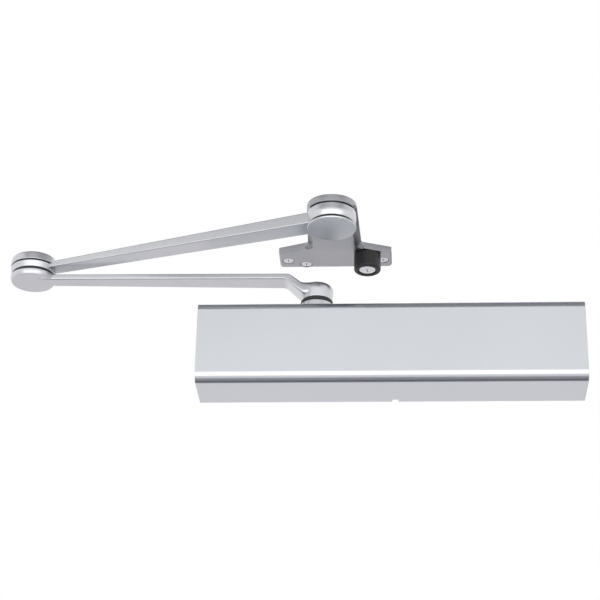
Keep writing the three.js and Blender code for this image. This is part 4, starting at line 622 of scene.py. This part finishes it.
def flat_face(outline, holes, height, up):
    """A flat face with round holes at one height: the outline and the circles are triangulated
    together, and the triangles inside a circle are left out. holes holds (centre, circle)."""
    loops = [outline] + [circle for _, circle in holes]
    points = np.concatenate(loops)
    ends = np.cumsum([len(loop) for loop in loops])
    starts = ends - [len(loop) for loop in loops]
    edges = [(i, i + 1 if i + 1 < end else start)
             for start, end in zip(starts.tolist(), ends.tolist()) for i in range(start, end)]
    flat, _, faces, *_ = geometry.delaunay_2d_cdt(points.tolist(), edges, [], 1, 1e-7)
    flat = np.array([tuple(point) for point in flat])
    faces = np.array(faces)
    middle = flat[faces].mean(1)
    for centre, circle in holes:
        almost = 0.98 * np.linalg.norm(circle[0] - centre)
        outside = np.linalg.norm(middle - centre, axis=1) > almost
        faces, middle = faces[outside], middle[outside]
    a, b, c = (flat[faces[:, k]] for k in range(3))
    turn = (b - a)[:, 0] * (c - a)[:, 1] - (b - a)[:, 1] * (c - a)[:, 0]
    wrong = (turn > 0) != up
    faces[wrong] = faces[wrong][:, ::-1]
    return np.column_stack([flat, np.full(len(flat), height)]), faces.tolist()


def wall(rings, inside_out=False):
    """The quads between rings, without caps."""
    rings = np.asarray(rings, float)
    rows, columns = rings.shape[:2]
    index = np.arange(rows * columns).reshape(rows, columns)
    here, there = index[:-1], index[1:]
    quads = np.stack([here, np.roll(here, -1, 1), np.roll(there, -1, 1), there], -1)
    quads = quads.reshape(-1, 4)
    return rings.reshape(-1, 3), (quads[:, ::-1] if inside_out else quads).tolist()


def welded(surfaces):
    """The surfaces as one, with corners that lie in the same place made one corner."""
    starts = np.cumsum([0] + [len(points) for points, _ in surfaces])
    points = np.concatenate([points for points, _ in surfaces])
    kept, where = np.unique(points.round(4), axis=0, return_inverse=True)
    where = where.ravel()
    faces = [
        [int(where[corner + start]) for corner in face]
        for start, (_, part) in zip(starts.tolist(), surfaces) for face in part
    ]
    return kept, faces


def at_height(outline, height):
    """A flat outline lifted to a height, or to a height for each of its points."""
    return np.column_stack([outline, np.broadcast_to(height, len(outline))])


# The same lacquer over a sand casting's skin, visibly uneven, and darker again as painted shade:
# the darker colour stands in for the shade that the lug and the ears sit in.
shade_darkened_cast_lacquer = finish("aluminium-flake lacquer sprayed on cast iron", "#b8b9bd", "#9d9fa3",
                      1.0, 0.32, 0.05, 25, 1.4, 0.03)

plate_low, plate_high = box_mm("shoe_bracket")
bottom, top = plate_low[2], plate_high[2]
lug_front = plate_low[1] + SUNK / 2
plate_outline = rounded([
    (-SHOE_HALF, SHOE_BACK), (-SHOE_HALF, EAR_FRONT), (-ROOT_HALF, ROOT_FRONT),
    (-LUG_HALF, lug_front), (LUG_HALF, lug_front), (ROOT_HALF, ROOT_FRONT),
    (SHOE_HALF, EAR_FRONT), (SHOE_HALF, SHOE_BACK),
], PLATE_ROUNDS, 16)
plate_outline = crowded(plate_outline, 1.6)
into = inward(plate_outline)
px, py = plate_outline.T
flank_front = shoe_pivot[1] - FLANK_START
flank = smooth_step(py, flank_front, flank_front + FLANK_GROWTH) * (np.abs(px) < ROOT_HALF + 2)
flank = flank * (1 - smooth_step(py, ROOT_FRONT - FLANK_END, ROOT_FRONT + FLANK_END))
low_inset = EDGE_ROUND + (FLANK_WIDTH - EDGE_ROUND) * flank
low_rise = EDGE_ROUND + (FLANK_HEIGHT - EDGE_ROUND) * flank
placed = plate_outline + np.array([shoe_pivot[0], 0])
side_rings = [
    at_height(placed + into * (low_inset * inset)[:, None], bottom + low_rise * rise)
    for inset, rise in ((1, 0), (0.88, 0.03), (0.12, 0.94), (0, 1.06))
]
side_rings += [at_height(placed + into * inset, top - drop)
               for inset, drop in ((0.0, 0.5), (0.15, 0.15), (0.5, 0.0))]
around = np.linspace(0, 2 * np.pi, 40, endpoint=False)
circle = np.stack([np.cos(around), np.sin(around)], -1)
lip, bore = SCREW_HEAD_RADIUS + CLEARANCE, SCREW_RADIUS + CLEARANCE
hole_levels = (
    (lip + LIP_CHAMFER, bottom), (lip, bottom + LIP_CHAMFER), (lip, bottom + HEAD_DEPTH),
    (bore, bottom + HEAD_DEPTH + CONE_HEIGHT), (bore, top),
)
screw_places = [middle_mm(f"shoe_screw_{number}")[:2] for number in range(1, 5)]
hole_walls = [
    wall([at_height(place + circle * size, level) for size, level in hole_levels],
         inside_out=True)
    for place in screw_places
]
shoe_faces = [
    flat_face(ring[:, :2], [(place, place + circle * size) for place in screw_places], level, up)
    for ring, size, level, up in (
        (side_rings[0], lip + LIP_CHAMFER, bottom, False), (side_rings[-1], bore, top, True),
    )
]
# The shoe wears the lacquer darkened as painted shade.
casting = piece("shoe_casting", shade_darkened_cast_lacquer, "shoe", ["shoe_bracket"],
                [welded([wall(side_rings), *shoe_faces, *hole_walls])])
for polygon in casting.data.polygons:
    polygon.use_smooth = abs(polygon.normal.z) < 0.9999  # the level faces stay flat


# ---------------------------------------------------------------- shoe pivot and its screws
# A thin pressed cap closes the pivot from below, sprayed with the rest. Four countersunk
# screws, zinc plated, go up through the plate, each with a cross recess.

SHOE_CAP_BEVEL, SHOE_CAP_BEVEL_HEIGHT, SHOE_CAP_RIM = 0.55, 1.0, 1.2
SHOE_CAP_BOSS_RADIUS = 14.0
SHOE_CAP_ROUNDS = (0, 0.3, 0.15, 0.05, 0.1, 0.2, 0)
SCREW_FACE_RADIUS, SCREW_TIP_RADIUS, SCREW_TIP = 4.1, 1.8, 0.8
SCREW_RECESS = ((0.4, 1.2), (0.9, 1.0), (1.4, 0.1), (1.6, 0.0))  # radius, depth
SCREW_CROSS = 0.42

shoe_cap_low, shoe_cap_high = (corner[2] for corner in box_mm("shoe_cap"))
cap_radius = round_radius("shoe_cap")
cap_section = solid_profile([
    (0, shoe_cap_low), (cap_radius - SHOE_CAP_BEVEL, shoe_cap_low),
    (cap_radius, shoe_cap_low + SHOE_CAP_BEVEL_HEIGHT), (cap_radius, shoe_cap_low + SHOE_CAP_RIM),
    (SHOE_CAP_BOSS_RADIUS, shoe_cap_low + SHOE_CAP_RIM), (SHOE_CAP_BOSS_RADIUS, shoe_cap_high),
    (0, shoe_cap_high),
], SHOE_CAP_ROUNDS)
piece("shoe_cap_pressed", forged_lacquer, "shoe", ["shoe_cap"],
      [turned(cap_section, shoe_pivot, 128)])

for number in range(1, 5):
    node = f"shoe_screw_{number}"
    face, tip = (corner[2] for corner in box_mm(node))
    profile = [(radius, face + depth) for radius, depth in SCREW_RECESS] + [
        (SCREW_FACE_RADIUS, face), (SCREW_HEAD_RADIUS - 0.2, face + 0.2),
        (SCREW_RADIUS, face + CONE_HEIGHT - 0.1), (SCREW_RADIUS, tip - SCREW_TIP),
        (SCREW_TIP_RADIUS, tip),
    ]
    piece(f"{node}_countersunk", zinc_plate, "shoe", [node], [
        turned(profile, middle_mm(node), 64, cross=SCREW_CROSS, cross_rows=len(SCREW_RECESS)),
    ])


# ---------------------------------------------------------------- stop bumper
# A black moulded rubber buffer under the right ear, which the forearm meets at the end of its
# swing, held by a domed zinc-plated screw sunk in its lower end.

BUMPER_POCKET, BUMPER_BORE = 5.0, 3.3
BUMPER_ROUNDS = (0.1, 0.3, 0.5, 1.7, 0.9, 0.1)
BUMPER_SCREW_RADIUS, BUMPER_SCREW_CROSS = 3.0, 0.4
DOME_RECESS = ((0.6, 1.3), (1.5, 1.1), (2.0, 0.15), (2.3, 0.0))  # radius, depth
DOME_FACE_RADIUS, DOME_SHOULDER, DOME_SIDE = 5.6, (6.6, 0.2), 0.8

# Moulded rubber: near black, dull, with a soft highlight down its side.
black_rubber = finish("black moulded rubber", "#1f1f20", "#171718", 0.0, 0.46, 0.05, 12, 0.35,
                      0.01)
bumper_low, bumper_high = (corner[2] for corner in box_mm("stop_bumper"))
bumper_radius, head_radius = round_radius("stop_bumper"), round_radius("bumper_screw")
pocket_radius, pocket_end = head_radius + CLEARANCE, bumper_low + BUMPER_POCKET
bumper_section = rounded([
    (BUMPER_BORE, pocket_end), (pocket_radius, pocket_end), (pocket_radius, bumper_low),
    (bumper_radius, bumper_low), (bumper_radius, bumper_high), (BUMPER_BORE, bumper_high),
], BUMPER_ROUNDS, 8)
piece("bumper_rubber", black_rubber, "shoe", ["stop_bumper"],
      [turned(bumper_section, middle_mm("stop_bumper"), 96, closed=True)])
dome, screw_end = (corner[2] for corner in box_mm("bumper_screw"))
head_end = pocket_end - CLEARANCE
profile = [(radius, dome + depth) for radius, depth in DOME_RECESS] + [
    (DOME_FACE_RADIUS, dome), (DOME_SHOULDER[0], dome + DOME_SHOULDER[1]),
    (head_radius, dome + DOME_SIDE), (head_radius, head_end), (BUMPER_SCREW_RADIUS, head_end),
    (BUMPER_SCREW_RADIUS, screw_end),
]
piece("bumper_screw_domed", zinc_plate, "shoe", ["bumper_screw"], [
    turned(profile, middle_mm("bumper_screw"), 96, cross=BUMPER_SCREW_CROSS,
           cross_rows=len(DOME_RECESS)),
])


# ---------------------------------------------------------------- main spring
# A coil spring of oil-tempered steel wire in the bore, between the piston and the seat on the
# power adjuster. It is made as two halves that meet at its middle, one named for the piston
# and one for the seat.

SPRING_WIRE, SPRING_COILS, SPRING_END_EASE = 5.2, 11, 0.35
WIRE_SIDES, STEPS_PER_COIL = 16, 40


def coil(start, end, first, last):
    """The wire of a coil spring for t from first to last. Its centre line is a helix about the
    bore, x = start + (end - start)(t - ease sin(2 pi t) / (2 pi)), so the end turns lie closer,
    and a circle stands on it in the plane through the axis."""
    t = np.linspace(first, last, int((last - first) * SPRING_COILS * STEPS_PER_COIL) + 1)[:, None]
    x = start + (end - start) * (t - SPRING_END_EASE * np.sin(2 * np.pi * t) / (2 * np.pi))
    turn = 2 * np.pi * SPRING_COILS * t
    around = np.linspace(0, 2 * np.pi, WIRE_SIDES, endpoint=False)
    reach = spring_radius + SPRING_WIRE / 2 * np.cos(around)
    along = x + SPRING_WIRE / 2 * np.sin(around)
    return skin(np.stack([along, spring_axis[1] + reach * np.cos(turn),
                          spring_axis[2] + reach * np.sin(turn)], -1))


# Oil-tempered spring steel: blue-black and smooth.
spring_steel = finish("oil-tempered spring steel", "#5a5e64", "#474b50", 1.0, 0.36, 0.05, 10, 0.4,
                      0.003)
spring_low, spring_high = box_mm("main_spring")
spring_axis = middle_mm("main_spring")
spring_radius = (spring_high[2] - spring_low[2] - SPRING_WIRE) / 2
ends = spring_low[0] + SPRING_WIRE / 2, spring_high[0] - SPRING_WIRE / 2
halves = {"piston": (0.0, 0.5, spring_low[0]), "spring_seat": (0.5, 1.0, spring_high[0])}
for mover, (first, last, far) in halves.items():
    half = piece(f"spring_half_at_{mover}", spring_steel, None, ["main_spring"],
                 [coil(*ends, first, last)])
    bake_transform(half)


# ---------------------------------------------------------------- pieces inside the cover
# The casting, the hydraulics and the fixings keep the shapes that they have in the frame. They
# are of die-cast aluminium, ground, plated or phosphated steel, bronze, rubber and nylon.

# Die-cast aluminium: pale grey, with the slightly mottled skin of the die.
die_cast = finish("die-cast aluminium", "#b9bbbe", "#a2a4a8", 1.0, 0.44, 0.07, 18, 0.8, 0.02)
# Sintered bronze: warm, dull and finely pored.
bronze = finish("sintered bronze", "#b58a54", "#96713f", 1.0, 0.42, 0.06, 6, 0.3, 0.01)
# Phosphated steel: dark grey and dry.
dark_steel = finish("phosphated steel", "#606266", "#4b4d51", 1.0, 0.5, 0.05, 8, 0.3, 0.004)

finishes = {
    "cover_paint": sheet_lacquer, "arm_paint": forged_lacquer, "cast_aluminium": die_cast,
    "machined_steel": turned_steel, "zinc_plate": zinc_plate, "dark_steel": dark_steel,
    "bronze": bronze, "black_rubber": black_rubber, "black_nylon": black_nylon,
    "spring_steel": spring_steel,
}
for part in frame["record"]["subparts"]:
    node = frame["nodes"][part["node"]]
    if not node.material_slots:
        node.data.materials.append(None)
    for place in node.material_slots:
        place.material = finishes[part["material_slot"]]
